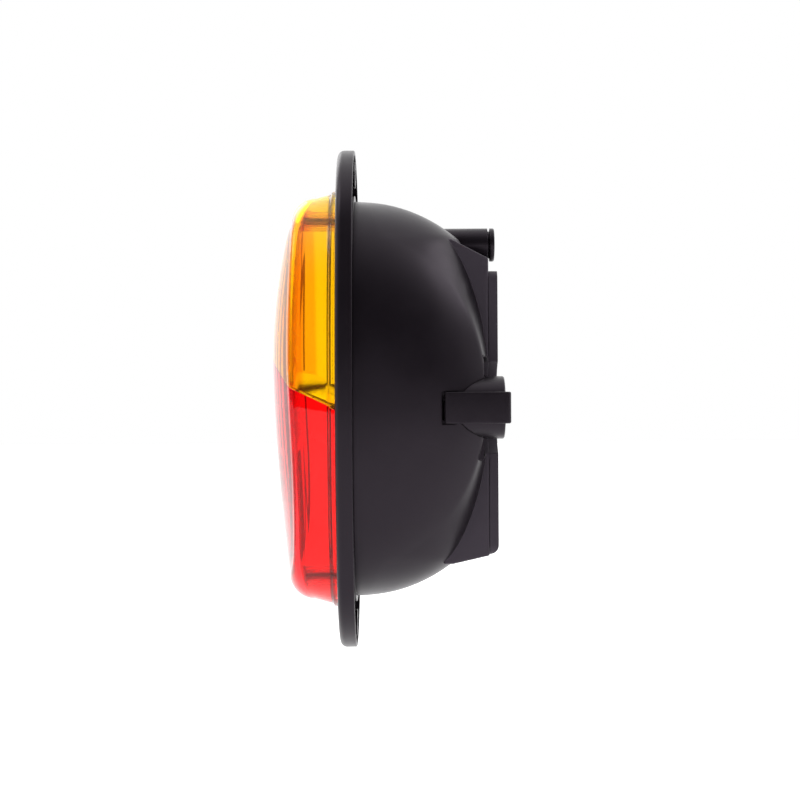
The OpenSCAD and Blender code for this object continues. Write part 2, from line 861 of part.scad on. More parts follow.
// Side view of the wiring box, in Y and Z. Its ends lean in towards the cover.
module box_side() {
    polygon([
        [box_root_y, box_end_low_z], [box_front_y, box_end_low_z], [cover_seat_y, box_low_z],
        [cover_seat_y, box_top_z], [62.3, box_top_z + 0.9], [box_front_y, box_end_top_z],
        [box_root_y, box_end_top_z], [52, 50], [52, -50]
    ]);
}

// Extrudes a side view along X to a half width.
module side_slab(half) {
    rotate([90, 0, 90]) translate([0, 0, -half]) linear_extrude(2 * half) children();
}

module wiring_box() {
    difference() {
        side_slab(box_half) box_side();
        side_slab(box_half - box_wall) polygon([
            [30, box_end_low_z + box_wall], [box_front_y, box_end_low_z + box_wall],
            [cover_seat_y + 1, box_low_z + box_wall], [cover_seat_y + 1, cover_top_z - 2.8],
            [box_front_y, box_end_top_z - box_wall], [30, box_end_top_z - box_wall]
        ]);
    }
    for (x = [-1, 1], z = cover_screw_zs)
        bar(x * cover_screw_x, z, cover_screw_end_y - 2, gasket_y, cover_post_r);
}

module rear_housing() {
    color(black) difference() {
        union() {
            difference() {
                dome_shell();
                side_slab(box_half - box_wall)
                    polygon([[30, -74], [90, -74], [90, 70], [30, 70]]);
            }
            wiring_box();
            pocket_wall();
            latch_block();
        }
        bar(socket_x, socket_z, pocket_y, 90, pocket_r);
        bar(socket_x, socket_z, shell_start_y - 0.05, 90, socket_r + 0.05);
        bar(0, outlet_z, 30, 90, outlet_r + 0.05);
        for (x = [-1, 1], z = cover_screw_zs)
            bar(x * cover_screw_x, z, cover_screw_end_y - 0.5, 90, cover_shank_r + 0.05);
        latch_recess();
        cover_gasket_ring();
        slab(cover_seat_y, cover_y)
            translate([-box_half, box_low_z]) square([box_w, box_top_z - box_low_z]);
    }
}

// Floor and side wall of the pocket that clears a plug's coupling ring.
module pocket_wall() {
    intersection() {
        bar(socket_x, socket_z, pocket_y - 2.5, cover_seat_y, pocket_r + 2.5);
        translate([-50, 0, -50]) cube([50 + box_half, 100, 100]);
    }
    intersection() {
        bar(socket_x, socket_z, pocket_y - 2.5, pocket_y, pocket_r + 1);
        translate([-50, 0, -50]) cube([50 + pocket_edge_x, 100, 100]);
    }
}

// Solid block under the latch that its pin goes through.
module latch_block() {
    translate([45, block_front_y, latch_z - latch_h / 2 - 0.5])
        cube([block_x - 45, block_back_y - block_front_y, latch_h + 1]);
}

// Room for the latch lever to swing, and the holes for its pin.
module latch_recess() {
    translate([block_x, recess_front_y, latch_z - latch_h / 2 - 0.3])
        cube([20, 19, latch_h + 0.6]);
    translate([latch_pin_x - 3.3, latch_pin_y - 3.3, latch_z - cheek_in])
        cube([20, block_back_y + 1 - latch_pin_y + 3.3, 2 * cheek_in]);
    translate([latch_pin_x, latch_pin_y, latch_z]) cylinder(h = latch_h, r = latch_pin_r, center = true);
}

// The ring between housing and cover. It lies in the top of the box walls.
module cover_gasket_ring() {
    slab(gasket_y, cover_seat_y) difference() {
        cover_plan(box_half - 0.7, box_low_z + 0.7, cover_top_z - 1.2, 4);
        cover_plan(box_half - 1.9, box_low_z + 1.9, cover_top_z - 2.4, 3);
    }
}

// Rounded rectangle in X and Z with the connector's pocket taken out of it.
module cover_plan(half, low, high, r) {
    difference() {
        rounded(half, low, high, r);
        translate([socket_x, socket_z]) circle(pocket_r + box_half - half);
    }
}

module rounded(half, low, high, r) {
    translate([-half + r, low]) square([2 * (half - r), high - low]);
    translate([-half, low + r]) square([2 * half, high - low - 2 * r]);
    for (x = [-1, 1], z = [low + r, high - r]) translate([x * (half - r), z]) circle(r);
}

module cover_gasket() {
    color(rubber) cover_gasket_ring();
}

module rear_cover() {
    low = box_low_z + 0.2;
    color(black) difference() {
        intersection() {
            slab(cover_seat_y, cover_y)
                cover_plan(box_half - 0.2, low, cover_top_z, cover_corner_r);
            side_slab(box_half) {
                translate([cover_seat_y - 1, low + cover_low_r])
                    square([cover_t + 1, cover_top_z - low - cover_low_r]);
                translate([cover_seat_y - 1, low]) square([cover_t + 1 - cover_low_r, cover_low_r]);
                translate([cover_y - cover_low_r, low + cover_low_r]) circle(cover_low_r);
            }
        }
        for (x = [-1, 1], z = cover_screw_zs) {
            bar(x * cover_screw_x, z, cover_seat_y - 1, cover_y + 1, cover_hole_r);
            bar(x * cover_screw_x, z, cover_y - cover_sink, cover_y + 1, cover_sink_r);
        }
    }
}

module cover_screws() {
    color(steel) for (x = [-1, 1], z = cover_screw_zs) difference() {
        union() {
            bar(x * cover_screw_x, z, cover_y - cover_sink, cover_y - cover_head_low, cover_head_r);
            bar(x * cover_screw_x, z, cover_screw_end_y, cover_y - cover_sink, cover_shank_r);
        }
        cross_slot(x * cover_screw_x, z, cover_y - cover_head_low);
    }
}

module cable_outlet() {
    color(black) turned(0, outlet_z) polygon([
        [outlet_bore_r, outlet_start_y], [outlet_r, outlet_start_y],
        [outlet_r, 65.3], [outlet_r - 1.5, 65.3], [outlet_r - 1.5, 66.3], [outlet_r, 66.3],
        [outlet_r, outlet_end_y - 0.6], [outlet_r - 0.6, outlet_end_y],
        [outlet_bore_r, outlet_end_y]
    ]);
}

// Rubber plug that closes the outlet where no cable is fitted.
module outlet_plug() {
    r = outlet_bore_r;
    color(rubber) turned(0, outlet_z) polygon([
        [0, 55], [r - 1, 55], [r, 56], [r, 57.2], [r - 0.8, 57.6], [r - 0.8, 59.2], [r, 59.6],
        [r, 60.8], [r - 0.8, 61.2], [r - 0.8, 63], [r, 63.4], [r, outlet_end_y - 1.6],
        [0, outlet_end_y - 1.6]
    ]);
}

// ---- Connector ----

// The angles of the pins around the centre pin.
function pin_angles() = [for (i = [0:ring_pins - 1]) 45 + 360 * i / ring_pins];

module pin_circle() {
    translate([socket_x, 0, socket_z]) {
        children();
        for (a = pin_angles())
            translate([pin_circle_r * cos(a), 0, pin_circle_r * sin(a)]) children();
    }
}

module connector_shell() {
    color(black) {
        difference() {
            bar(socket_x, socket_z, shell_start_y, socket_mouth_y, socket_r);
            bar(socket_x, socket_z, shell_floor_y, socket_mouth_y + 1, cavity_r);
            pin_circle() bar(0, 0, shell_start_y - 1, shell_floor_y + 1, contact_pin_r);
        }
        intersection() {
            sleeve(socket_x, socket_z, insert_y + 2, socket_mouth_y - 2, cavity_r + 1, cavity_r - 1);
            translate([socket_x - 1.6, 0, socket_z]) cube([3.2, 100, 20]);
        }
    }
}

module connector_insert() {
    color([0.25, 0.25, 0.27]) difference() {
        bar(socket_x, socket_z, shell_floor_y, insert_y, cavity_r);
        pin_circle() bar(0, 0, shell_floor_y - 1, insert_y + 1, contact_pin_r);
    }
}

module connector_pins() {
    color(brass) pin_circle() {
        bar(0, 0, pin_tail_y, pin_tip_y - contact_pin_r, contact_pin_r);
        translate([0, pin_tip_y - contact_pin_r, 0]) sphere(contact_pin_r);
    }
}

module connector_seal() {
    color(rubber) sleeve(socket_x, socket_z, insert_y, insert_y + 1.8, cavity_r, cavity_r - 2);
}

// ---- Latch ----

module latch_lever() {
    half = latch_h / 2;
    color(black) translate([0, 0, latch_z]) {
        difference() {
            union() {
                lever_body(half);
                translate([latch_pin_x, latch_pin_y, -cheek_in + 0.3])
                    cylinder(h = 2 * cheek_in - 2.9, r = knuckle_r);
                translate([latch_pin_x, latch_pin_y - knuckle_r + 0.4, -cheek_in + 0.3])
                    cube([4, 2 * knuckle_r - 0.8, 2 * cheek_in - 2.9]);
            }
            cylinder_at_pin(latch_pin_r + 0.05, 40);
        }
    }
}

// The plate and its hook, drawn in X and Y and stepped in near its edges to round them.
module lever_body(half) {
    for (step = [[0, 1.2], [0.35, 0.5], [1.2, 0]])
        translate([0, 0, -half + step[1]]) linear_extrude(2 * (half - step[1]))
            lever_outline(step[0]);
}

module lever_outline(inset) {
    inner_x = latch_face_x - latch_t;
    outer_x = latch_face_x - inset;
    polygon(concat(
        [[hook_x, latch_end_y], [hook_x, hook_y], [inner_x, hook_y], [inner_x, latch_front_y]],
        arc([outer_x - 1, latch_front_y + 1], 1, -90, 0, 6),
        arc([outer_x - 2, latch_end_y - 2], 2, 0, 90, 8),
        [[outer_x - 2, latch_end_y]]
    ));
}

module cylinder_at_pin(r, h) {
    translate([latch_pin_x, latch_pin_y, 0]) cylinder(h = h, r = r, center = true);
}

module latch_pin() {
    color(steel) translate([0, 0, latch_z]) cylinder_at_pin(latch_pin_r, latch_h);
}

// Torsion spring around the pin, beside the lever's knuckle.
module latch_spring() {
    color(steel) translate([latch_pin_x, latch_pin_y, latch_z + cheek_in - 2.5])
        coil(2.1, 0.28, 3, 2.3);
}

mounting_flange();
lens_gasket();
lens_amber();
lens_red();
lens_screws();
reflex_reflector();
chamber_divider();
reflector_upper();
reflector_lower();
turn_bulb_glass();
turn_bulb_cap();
turn_filament();
turn_socket();
turn_contact();
turn_contact_spring();
stop_bulb_glass();
stop_bulb_cap();
stop_filament();
stop_socket();
stop_contact();
stop_contact_spring();
contact_carrier();
lead_frame();
lead_wires();
rear_housing();
cover_gasket();
rear_cover();
cover_screws();
cable_outlet();
outlet_plug();
connector_shell();
connector_insert();
connector_pins();
connector_seal();
latch_lever();
latch_pin();
latch_spring();
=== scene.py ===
import math

import bmesh
import bpy
import numpy as np
from mathutils import Matrix, Vector


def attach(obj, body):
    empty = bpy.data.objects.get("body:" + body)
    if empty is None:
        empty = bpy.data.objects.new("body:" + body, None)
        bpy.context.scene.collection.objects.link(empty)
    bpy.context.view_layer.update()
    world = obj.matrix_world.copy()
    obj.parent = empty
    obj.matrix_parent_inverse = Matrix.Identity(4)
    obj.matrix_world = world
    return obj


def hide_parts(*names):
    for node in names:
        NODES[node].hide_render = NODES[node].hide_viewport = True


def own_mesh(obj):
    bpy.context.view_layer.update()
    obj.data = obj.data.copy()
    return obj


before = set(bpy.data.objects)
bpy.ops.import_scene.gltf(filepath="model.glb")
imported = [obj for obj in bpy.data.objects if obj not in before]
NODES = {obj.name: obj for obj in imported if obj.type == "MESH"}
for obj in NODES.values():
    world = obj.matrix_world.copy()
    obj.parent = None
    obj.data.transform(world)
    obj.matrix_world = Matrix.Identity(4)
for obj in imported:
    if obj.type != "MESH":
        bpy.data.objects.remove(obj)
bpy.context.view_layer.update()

MM = 0.001

# Driving dimensions, in millimetres, and stations along the axes
LENS_W, LENS_H, DEPTH, WALL = 118, 202, 41, 2.2
FLANGE_W, FLANGE_H, FLANGE_END_R, FLANGE_T = 136, 245, 58, 8
EAR_Z, LENS_SCREW_Z = 111, 88
SEAT_Y, PLATE_Y = -3.5, -5.3
TURN_Z, STOP_Z = 41, -38
FILAMENT_Y = 8.3
BULB_GLASS_R = 12.5
DOME_A, DOME_B, DOME_C, DOME_WALL = 64, 84, 97, 2.5
CREASE_X, BACK_Y, BACK_C = 43, 65, 125
BOX_HALF, BOX_WALL, BOX_TOP_Z, BOX_LOW_Z = 28, 2.5, 67, -75.4
# The wiring box region, where the housing plastic carries a painted sheen as a paler colour
BOX_SHEEN_MIDDLE = (0, 60, -1.6)
BOX_SHEEN_REACH = (28.6, 17.5, 78.1)
COVER_SEAT_Y, COVER_Y, COVER_TOP_Z = 64.2, 68.5, 61
COVER_SCREWS = [(x, z) for x in (-20.8, 20.8) for z in (54, -67)]
PORT_X, PORT_Z, PORT_R = 38, -4.5, 14.75
POCKET_R, POCKET_Y = 24, 60.8
OUTLET_Z, OUTLET_R = 76, 8.2
PIN_X, PIN_Y = 51, 44.5
LEVER_HALF = 7.3


# ---- Mesh helpers. Points are in millimetres, in the frame of the part ----


def make(name, points, faces, sharp=35):
    """A closed mesh object, with its faces turned outwards and smooth up to the sharp angle."""
    mesh = bpy.data.meshes.new(name)
    mesh.from_pydata((np.asarray(points, float) * MM).tolist(), [], [list(f) for f in faces])
    bm = bmesh.new()
    bm.from_mesh(mesh)
    bmesh.ops.remove_doubles(bm, verts=bm.verts, dist=1e-7)
    bmesh.ops.recalc_face_normals(bm, faces=bm.faces)
    bm.to_mesh(mesh)
    bm.free()
    obj = bpy.data.objects.new(name, mesh)
    bpy.context.scene.collection.objects.link(obj)
    shade(obj, sharp)
    return obj


def shade(obj, sharp=35):
    obj.data.shade_smooth()
    obj.data.set_sharp_from_angle(angle=math.radians(sharp))


def stitch(rings, closed=True, loop=False, caps=False):
    """Points and faces of the skin over a list of rings of equal length."""
    n = len(rings[0])
    points = [tuple(p) for ring in rings for p in ring]
    faces = []
    for i in range(len(rings) if loop else len(rings) - 1):
        a = i * n
        b = (i + 1) % len(rings) * n
        for k in range(n if closed else n - 1):
            m = (k + 1) % n
            faces.append((a + k, a + m, b + m, b + k))
    if caps:
        faces.append(tuple(range(n)))
        faces.append(tuple(range(len(points) - n, len(points))))
    return points, faces


def lathe(name, outline, x, z, steps=96, closed=False, sharp=35):
    """Turns an outline of (radius, Y) points around the axis along Y through x, z."""
    rings = []
    for t in np.linspace(0, 2 * math.pi, steps, endpoint=False):
        rings.append([(x + r * math.cos(t), y, z + r * math.sin(t)) for r, y in outline])
    return make(name, *stitch(rings, closed=closed, loop=True), sharp=sharp)


def rod(name, x, z, y0, y1, r, steps=64):
    return lathe(name, [(0, y0), (r, y0), (r, y1), (0, y1)], x, z, steps)


def block(name, low, high):
    x0, y0, z0 = low
    x1, y1, z1 = high
    return prism(name, [(x0, z0), (x1, z0), (x1, z1), (x0, z1)], "Y", y0, y1)


def prism(name, outline, axis, low, high, bevel=0, segments=4):
    """Extrudes an outline along an axis. It is drawn in XZ for Y, in YZ for X and in XY for Z."""
    place = {
        "X": lambda u, v, w: (w, u, v),
        "Y": lambda u, v, w: (u, w, v),
        "Z": lambda u, v, w: (u, v, w),
    }[axis]
    rings = [[place(u, v, w) for u, v in outline] for w in (low, high)]
    obj = make(name, *stitch(rings, caps=True))
    if bevel:
        bm = bmesh.new()
        bm.from_mesh(obj.data)
        edges = [e for e in bm.edges if e.calc_face_angle(0) > 0.5]
        bmesh.ops.bevel(
            bm, geom=edges, offset=bevel * MM, segments=segments, profile=0.5, affect="EDGES"
        )
        bm.to_mesh(obj.data)
        bm.free()
        shade(obj)
    return obj


def combine(obj, others, mode="DIFFERENCE", sharp=35):
    """Cuts the others from obj, or adds them to it, and removes them."""
    for other in others:
        step = obj.modifiers.new("combine", "BOOLEAN")
        step.operation = mode
        step.object = other
        step.solver = "MANIFOLD"
    bpy.context.view_layer.update()
    graph = bpy.context.evaluated_depsgraph_get()
    mesh = bpy.data.meshes.new_from_object(obj.evaluated_get(graph))
    obj.modifiers.clear()
    obj.data = mesh
    for other in others:
        bpy.data.objects.remove(other)
    shade(obj, sharp)
    return obj


def join(name, parts):
    """One object out of several. The first one's name is changed to name."""
    with bpy.context.temp_override(
        active_object=parts[0], object=parts[0], selected_editable_objects=parts
    ):
        bpy.ops.object.join()
    parts[0].name = name
    return parts[0]


def curve_points(controls, per_span=10):
    """A Catmull-Rom curve through the control points."""
    c = [np.array(p, float) for p in controls]
    c = [2 * c[0] - c[1]] + c + [2 * c[-1] - c[-2]]
    out = []
    for i in range(1, len(c) - 2):
        for t in np.linspace(0, 1, per_span, endpoint=False):
            out.append(
                0.5 * (2 * c[i] + (c[i + 1] - c[i - 1]) * t
                + (2 * c[i - 1] - 5 * c[i] + 4 * c[i + 1] - c[i + 2]) * t**2
                + (3 * c[i] - 3 * c[i + 1] + c[i + 2] - c[i - 1]) * t**3)
            )
    out.append(c[-2])
    return out


def tube(name, path, r, sides=12):
    """A round tube along a path, without twist."""
    path = [np.array(p, float) for p in path]
    last = len(path) - 1
    rings = []
    side = None
    for i, p in enumerate(path):
        along = path[min(i + 1, last)] - path[max(i - 1, 0)]
        along /= np.linalg.norm(along)
        if side is None:
            side = np.cross(along, (0, 0, 1) if abs(along[2]) < 0.9 else (1, 0, 0))
        side = side - along * side.dot(along)
        side /= np.linalg.norm(side)
        up = np.cross(along, side)
        turns = np.linspace(0, 2 * math.pi, sides, endpoint=False)
        rings.append([p + r * (side * math.cos(t) + up * math.sin(t)) for t in turns])
    return make(name, *stitch(rings, caps=True))


def helix(centre, axis, r, turns, length, steps=30):
    """Points along a coil whose middle line starts at centre and runs along axis."""
    count = int(turns * steps)
    out = []
    for i in range(count + 1):
        t = 2 * math.pi * i / steps
        u, v, w = r * math.cos(t), r * math.sin(t), length * i / count
        out.append(np.add(centre, {"X": (w, u, v), "Y": (u, w, v), "Z": (u, v, w)}[axis]))
    return out


def arc(cx, cy, r, start, end, steps):
    angles = [math.radians(start + (end - start) * i / steps) for i in range(steps + 1)]
    return [(cx + r * math.cos(t), cy + r * math.sin(t)) for t in angles]


def oval(w, h, r, steps=64):
    """An outline in XZ of two long side arcs and two round ends."""
    big = (w * w / 4 + (h / 2 - r) ** 2 - r * r) / (w - 2 * r)
    half = math.degrees(math.asin((h / 2 - r) / (big - r)))
    return (
        arc(w / 2 - big, 0, big, -half, half, steps)[:-1]
        + arc(0, h / 2 - r, r, half, 180 - half, steps)[:-1]
        + arc(big - w / 2, 0, big, 180 - half, 180 + half, steps)[:-1]
        + arc(0, r - h / 2, r, 180 + half, 360 - half, steps)[:-1]
    )


def at_y(outline, y):
    return [(x, y, z) for x, z in outline]


def settle(obj, body, slot, material, *nodes):
    """Gives a finished piece its material and its body, and hides the CAD nodes it stands for. The
    slot is not used.
    """
    obj.data.materials.clear()
    obj.data.materials.append(material)
    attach(obj, body)
    if nodes:
        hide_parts(*nodes)
    return obj


# ---- Materials ----


class Shader:
    """Small helper to wire up a procedural material."""

    def __init__(self, name):
        self.material = bpy.data.materials.new(name)
        self.material.use_nodes = True
        self.tree = self.material.node_tree
        self.tree.nodes.clear()
        self.place = self.add("ShaderNodeTexCoord").outputs["Object"]

    def add(self, kind, **values):
        node = self.tree.nodes.new(kind)
        for key, value in values.items():
            setattr(node, key, value)
        return node

    def link(self, a, b):
        self.tree.links.new(a, b)

    def noise(self, scale, detail=3, stretch=(1, 1, 1)):
        mapping = self.add("ShaderNodeMapping")
        mapping.inputs["Scale"].default_value = stretch
        self.link(self.place, mapping.inputs["Vector"])
        node = self.add("ShaderNodeTexNoise")
        node.inputs["Scale"].default_value = scale
        node.inputs["Detail"].default_value = detail
        self.link(mapping.outputs["Vector"], node.inputs["Vector"])
        return node.outputs["Fac"]

    def spread(self, value, low, high):
        """Maps the middle of a noise to a range of values."""
        node = self.add("ShaderNodeMapRange")
        node.inputs["From Min"].default_value = 0.3
        node.inputs["From Max"].default_value = 0.7
        node.inputs["To Min"].default_value = low
        node.inputs["To Max"].default_value = high
        self.link(value, node.inputs["Value"])
        return node.outputs["Result"]

    def tint(self, value, dark, light):
        ramp = self.add("ShaderNodeValToRGB")
        ramp.color_ramp.elements[0].position = 0.3
        ramp.color_ramp.elements[1].position = 0.7
        ramp.color_ramp.elements[0].color = (*dark, 1)
        ramp.color_ramp.elements[1].color = (*light, 1)
        self.link(value, ramp.inputs["Fac"])
        return ramp.outputs["Color"]

    def bump(self, value, strength, distance, edge=0):
        node = self.add("ShaderNodeBump")
        node.inputs["Strength"].default_value = strength
        node.inputs["Distance"].default_value = distance
        self.link(value, node.inputs["Height"])
        if edge:
            bevel = self.add("ShaderNodeBevel", samples=6)
            bevel.inputs["Radius"].default_value = edge
            self.link(bevel.outputs["Normal"], node.inputs["Normal"])
        return node.outputs["Normal"]

    def principled(self, colour, rough, normal, **constants):
        node = self.add("ShaderNodeBsdfPrincipled")
        self.link(colour, node.inputs["Base Color"])
        self.link(rough, node.inputs["Roughness"])
        self.link(normal, node.inputs["Normal"])
        for key, value in constants.items():
            node.inputs[key.replace("_", " ")].default_value = value
        return node.outputs["BSDF"]

    def out(self, surface):
        self.link(surface, self.add("ShaderNodeOutputMaterial").inputs["Surface"])
        return self.material


def solid(name, dark, light, rough, patch=60, grain=3500, depth=0.00004, edge=0, stretch=(1, 1, 1),
          strength=0.35, **constants):
    """An opaque material whose colour drifts in patches over a fine grain."""
    s = Shader(name)
    colour = s.tint(s.noise(patch, 5), dark, light)
    roughness = s.spread(s.noise(patch * 2.3, 4, stretch), *rough)
    normal = s.bump(s.noise(grain, 2, stretch), strength, depth, edge)
    return s.out(s.principled(colour, roughness, normal, **constants))


BLACK_TONES = ((0.0042, 0.0030, 0.0045), (0.0064, 0.0048, 0.0068))
BLACK_GLOSS = (0.98, 0.82, 1.0, 1.0)


def housing_plastic():
    """Black plastic that is smooth on the dome and has a matt texture on the wiring box, where a paler
    colour is painted sheen.
    """
    s = Shader("housing plastic")
    axes = s.add("ShaderNodeSeparateXYZ")
    s.link(s.place, axes.inputs["Vector"])
    # Mask of the wiring box, where the painted sheen goes
    box = None
    for axis, middle, reach in zip("XYZ", BOX_SHEEN_MIDDLE, BOX_SHEEN_REACH):
        near = s.add("ShaderNodeMath", operation="COMPARE")
        near.inputs[1].default_value = middle * MM
        near.inputs[2].default_value = reach * MM
        s.link(axes.outputs[axis], near.inputs[0])
        if box:
            both = s.add("ShaderNodeMath", operation="MULTIPLY")
            s.link(box.outputs["Value"], both.inputs[0])
            s.link(near.outputs["Value"], both.inputs[1])
            near = both
        box = near
    drift = s.noise(22, 5)
    colour = s.add("ShaderNodeMix", data_type="RGBA")
    s.link(box.outputs["Value"], colour.inputs["Factor"])
    s.link(s.tint(drift, *BLACK_TONES), colour.inputs["A"])
    # Painted sheen: a paler colour on the box walls and cover, in place of the bright room they
    # reflect
    s.link(s.tint(drift, (0.032, 0.027, 0.034), (0.038, 0.032, 0.041)), colour.inputs["B"])
    rough = s.add("ShaderNodeMix")
    patches = s.noise(50, 4)
    s.link(box.outputs["Value"], rough.inputs["Factor"])
    s.link(s.spread(patches, 0.28, 0.38), rough.inputs["A"])
    s.link(s.spread(patches, 0.46, 0.56), rough.inputs["B"])
    normal = s.bump(s.noise(2600, 2), 0.35, 0.00004, 0.0006)
    plastic = s.principled(
        colour.outputs["Result"], rough.outputs["Result"], normal, IOR=1.34, Specular_Tint=BLACK_GLOSS
    )
    return s.out(plastic)


def coloured_lens(name, thin, deep, glow, share):
    """Clear dyed plastic, deeper in colour towards its thick front. A share of light spreads in it."""
    s = Shader(name)
    drift = s.noise(35, 3)
    axes = s.add("ShaderNodeSeparateXYZ")
    s.link(s.place, axes.inputs["Vector"])
    depth = s.add("ShaderNodeMapRange", interpolation_type="SMOOTHSTEP")
    depth.inputs["From Min"].default_value = -0.0215
    depth.inputs["From Max"].default_value = -0.0245
    s.link(axes.outputs["Y"], depth.inputs["Value"])
    colour = s.add("ShaderNodeMix", data_type="RGBA")
    s.link(depth.outputs["Result"], colour.inputs["Factor"])
    s.link(s.tint(drift, [c * 0.97 for c in thin], thin), colour.inputs["A"])
    s.link(s.tint(drift, [c * 0.94 for c in deep], deep), colour.inputs["B"])
    normal = s.bump(s.noise(110, 2), 0.06, 0.00008, 0.0003)
    roughness = s.spread(s.noise(120, 4), 0.0, 0.03)
    clear = s.principled(
        colour.outputs["Result"], roughness, normal, Transmission_Weight=1.0, IOR=1.49,
        Specular_Tint=(0.6, 0.6, 0.6, 1.0),
    )
    inner = s.add("ShaderNodeBsdfTranslucent")
    s.link(s.tint(drift, [c * 0.9 for c in glow], glow), inner.inputs["Color"])
    s.link(normal, inner.inputs["Normal"])
    mix = s.add("ShaderNodeMixShader")
    mix.inputs["Fac"].default_value = share
    s.link(clear, mix.inputs[1])
    s.link(inner.outputs["BSDF"], mix.inputs[2])
    return s.out(mix.outputs["Shader"])


black = solid("black plastic", *BLACK_TONES, (0.28, 0.38), patch=22, grain=2600, edge=0.0006,
              IOR=1.34, Specular_Tint=BLACK_GLOSS)
# Black plastic with a painted sheen on the wiring box
black_with_box_sheen = housing_plastic()
latch_black = solid("latch plastic", (0.0042, 0.0030, 0.0044), (0.0062, 0.0048, 0.0066), (0.38, 0.48),
                    patch=60, grain=2200, edge=0.0005, IOR=1.32, Specular_Tint=BLACK_GLOSS)
amber = coloured_lens("amber lens", (1.0, 0.76, 0.001), (1.0, 0.5, 0.001), (1.0, 0.4, 0.001), 0.1)
red = coloured_lens("red lens", (1.0, 0.045, 0.04), (0.95, 0.03, 0.04), (0.98, 0.02, 0.022), 0.08)
reflex = coloured_lens("reflex prisms", (0.94, 0.08, 0.09), (0.9, 0.05, 0.06), (0.9, 0.03, 0.04), 0.1)
rubber = solid("sealing rubber", (0.008, 0.008, 0.008), (0.016, 0.016, 0.016), (0.6, 0.75),
               patch=80, grain=1800, depth=0.00008, edge=0.0003, IOR=1.4)
chrome = solid("metallised plastic", (0.82, 0.83, 0.85), (0.9, 0.9, 0.91), (0.08, 0.16),
               patch=40, grain=180, depth=0.00003, strength=0.12, Metallic=1.0)
steel = solid("zinc plated steel", (0.45, 0.45, 0.46), (0.62, 0.62, 0.63), (0.25, 0.42),
              patch=300, grain=2500, edge=0.0002, stretch=(1, 0.2, 1), Metallic=1.0)
brass = solid("brass", (0.62, 0.42, 0.16), (0.76, 0.55, 0.24), (0.25, 0.42),
              patch=260, grain=2200, edge=0.0002, Metallic=1.0)
resin = solid("phenolic board", (0.12, 0.06, 0.03), (0.2, 0.105, 0.05), (0.45, 0.6),
              patch=150, grain=1500, depth=0.00006, stretch=(1, 1, 4), edge=0.0002)
grey = solid("grey plastic", (0.02, 0.02, 0.021), (0.035, 0.035, 0.037), (0.42, 0.56),
             patch=120, grain=2200, depth=0.00005, edge=0.0003)
tungsten = solid("tungsten", (0.25, 0.24, 0.23), (0.4, 0.39, 0.37), (0.3, 0.45),
                 patch=500, grain=3000, Metallic=1.0)


def clear_glass():
    s = Shader("bulb glass")
    colour = s.tint(s.noise(40), (0.93, 0.95, 0.95), (0.99, 1.0, 1.0))
    roughness = s.spread(s.noise(90), 0.0, 0.03)
    normal = s.bump(s.noise(70), 0.05, 0.0001)
    return s.out(s.principled(colour, roughness, normal, Transmission_Weight=1.0, IOR=1.46))


glass = clear_glass()


def wire_cover(name, colour):
    dark = [c * 0.8 for c in colour]
    return solid(name, dark, colour, (0.38, 0.5), patch=140, grain=900, depth=0.00005)


# ---- Lens: an outline between a circle and a rectangle, with a front bowed both ways ----

POWER, DRAFT, TOP_DRAFT_LESS = 2.4, 2.4, 0.6
CORNER, INNER_CORNER = 2.4, 6.0
CORNER_GROWTH, INNER_GROWTH = 11.0, 6.0
END_FROM = 0.72
CORNER_LEVEL_Y = -29
LIP_Y = -11
DIVIDE_Z, DIVIDE_BOW, DIVIDE_SLOPE = 20.6, 0.00338, 0.408
SIDE_DROP = 0.0037
CROWN_Z, CROWN_DROP, CROWN_UP, CROWN_DOWN = 15, 6.9, 64, 94
TIP_Z, TIP_DROP, TIP_SPAN = 75, 1.4, 12
HALF_GAP = 0.07
COLUMNS, SIDE_ROWS, CORNER_ROWS, FRONT_ROWS = 480, 12, 10, 56
PAD_HALF_W, PAD_LOW, PAD_HIGH = 31, -77, -26


def crown(z):
    """How far the front has fallen back at height z, along its middle."""
    up = np.maximum(z - CROWN_Z, 0) / CROWN_UP
    down = np.maximum(CROWN_Z - z, 0) / CROWN_DOWN
    tip = np.maximum(z - TIP_Z, 0) / TIP_SPAN
    return CROWN_DROP * (up**2 + down**1.5) + TIP_DROP * tip**2


def front_y(x, z):
    return -(DEPTH - crown(z) - SIDE_DROP * x * x)


def divide_z(x, y, gap=0.0):
    """Height of the surface between the amber and red halves."""
    return DIVIDE_Z + gap - DIVIDE_BOW * x * x - DIVIDE_SLOPE * (y + DEPTH)


def front_divide_z(x, gap=0.0):
    """The same height on the lens front."""
    return DIVIDE_Z + gap - (DIVIDE_BOW + DIVIDE_SLOPE * SIDE_DROP) * x * x


def signed_pow(v, p):
    return np.sign(v) * np.abs(v) ** p


def outline_point(q, d, y, up):
    """X and Z on the lens outline, drawn in by d, at depth y. q runs from 0 to 1."""
    a = LENS_W / 2 - d
    b = LENS_H / 2 - d
    level = divide_z(a, y, up * HALF_GAP)
    start = np.arcsin(signed_pow(level / b, POWER / 2))
    turn = start + q * (math.pi - 2 * start) if up > 0 else start - q * (math.pi + 2 * start)
    return a * signed_pow(np.cos(turn), 2 / POWER), b * signed_pow(np.sin(turn), 2 / POWER)


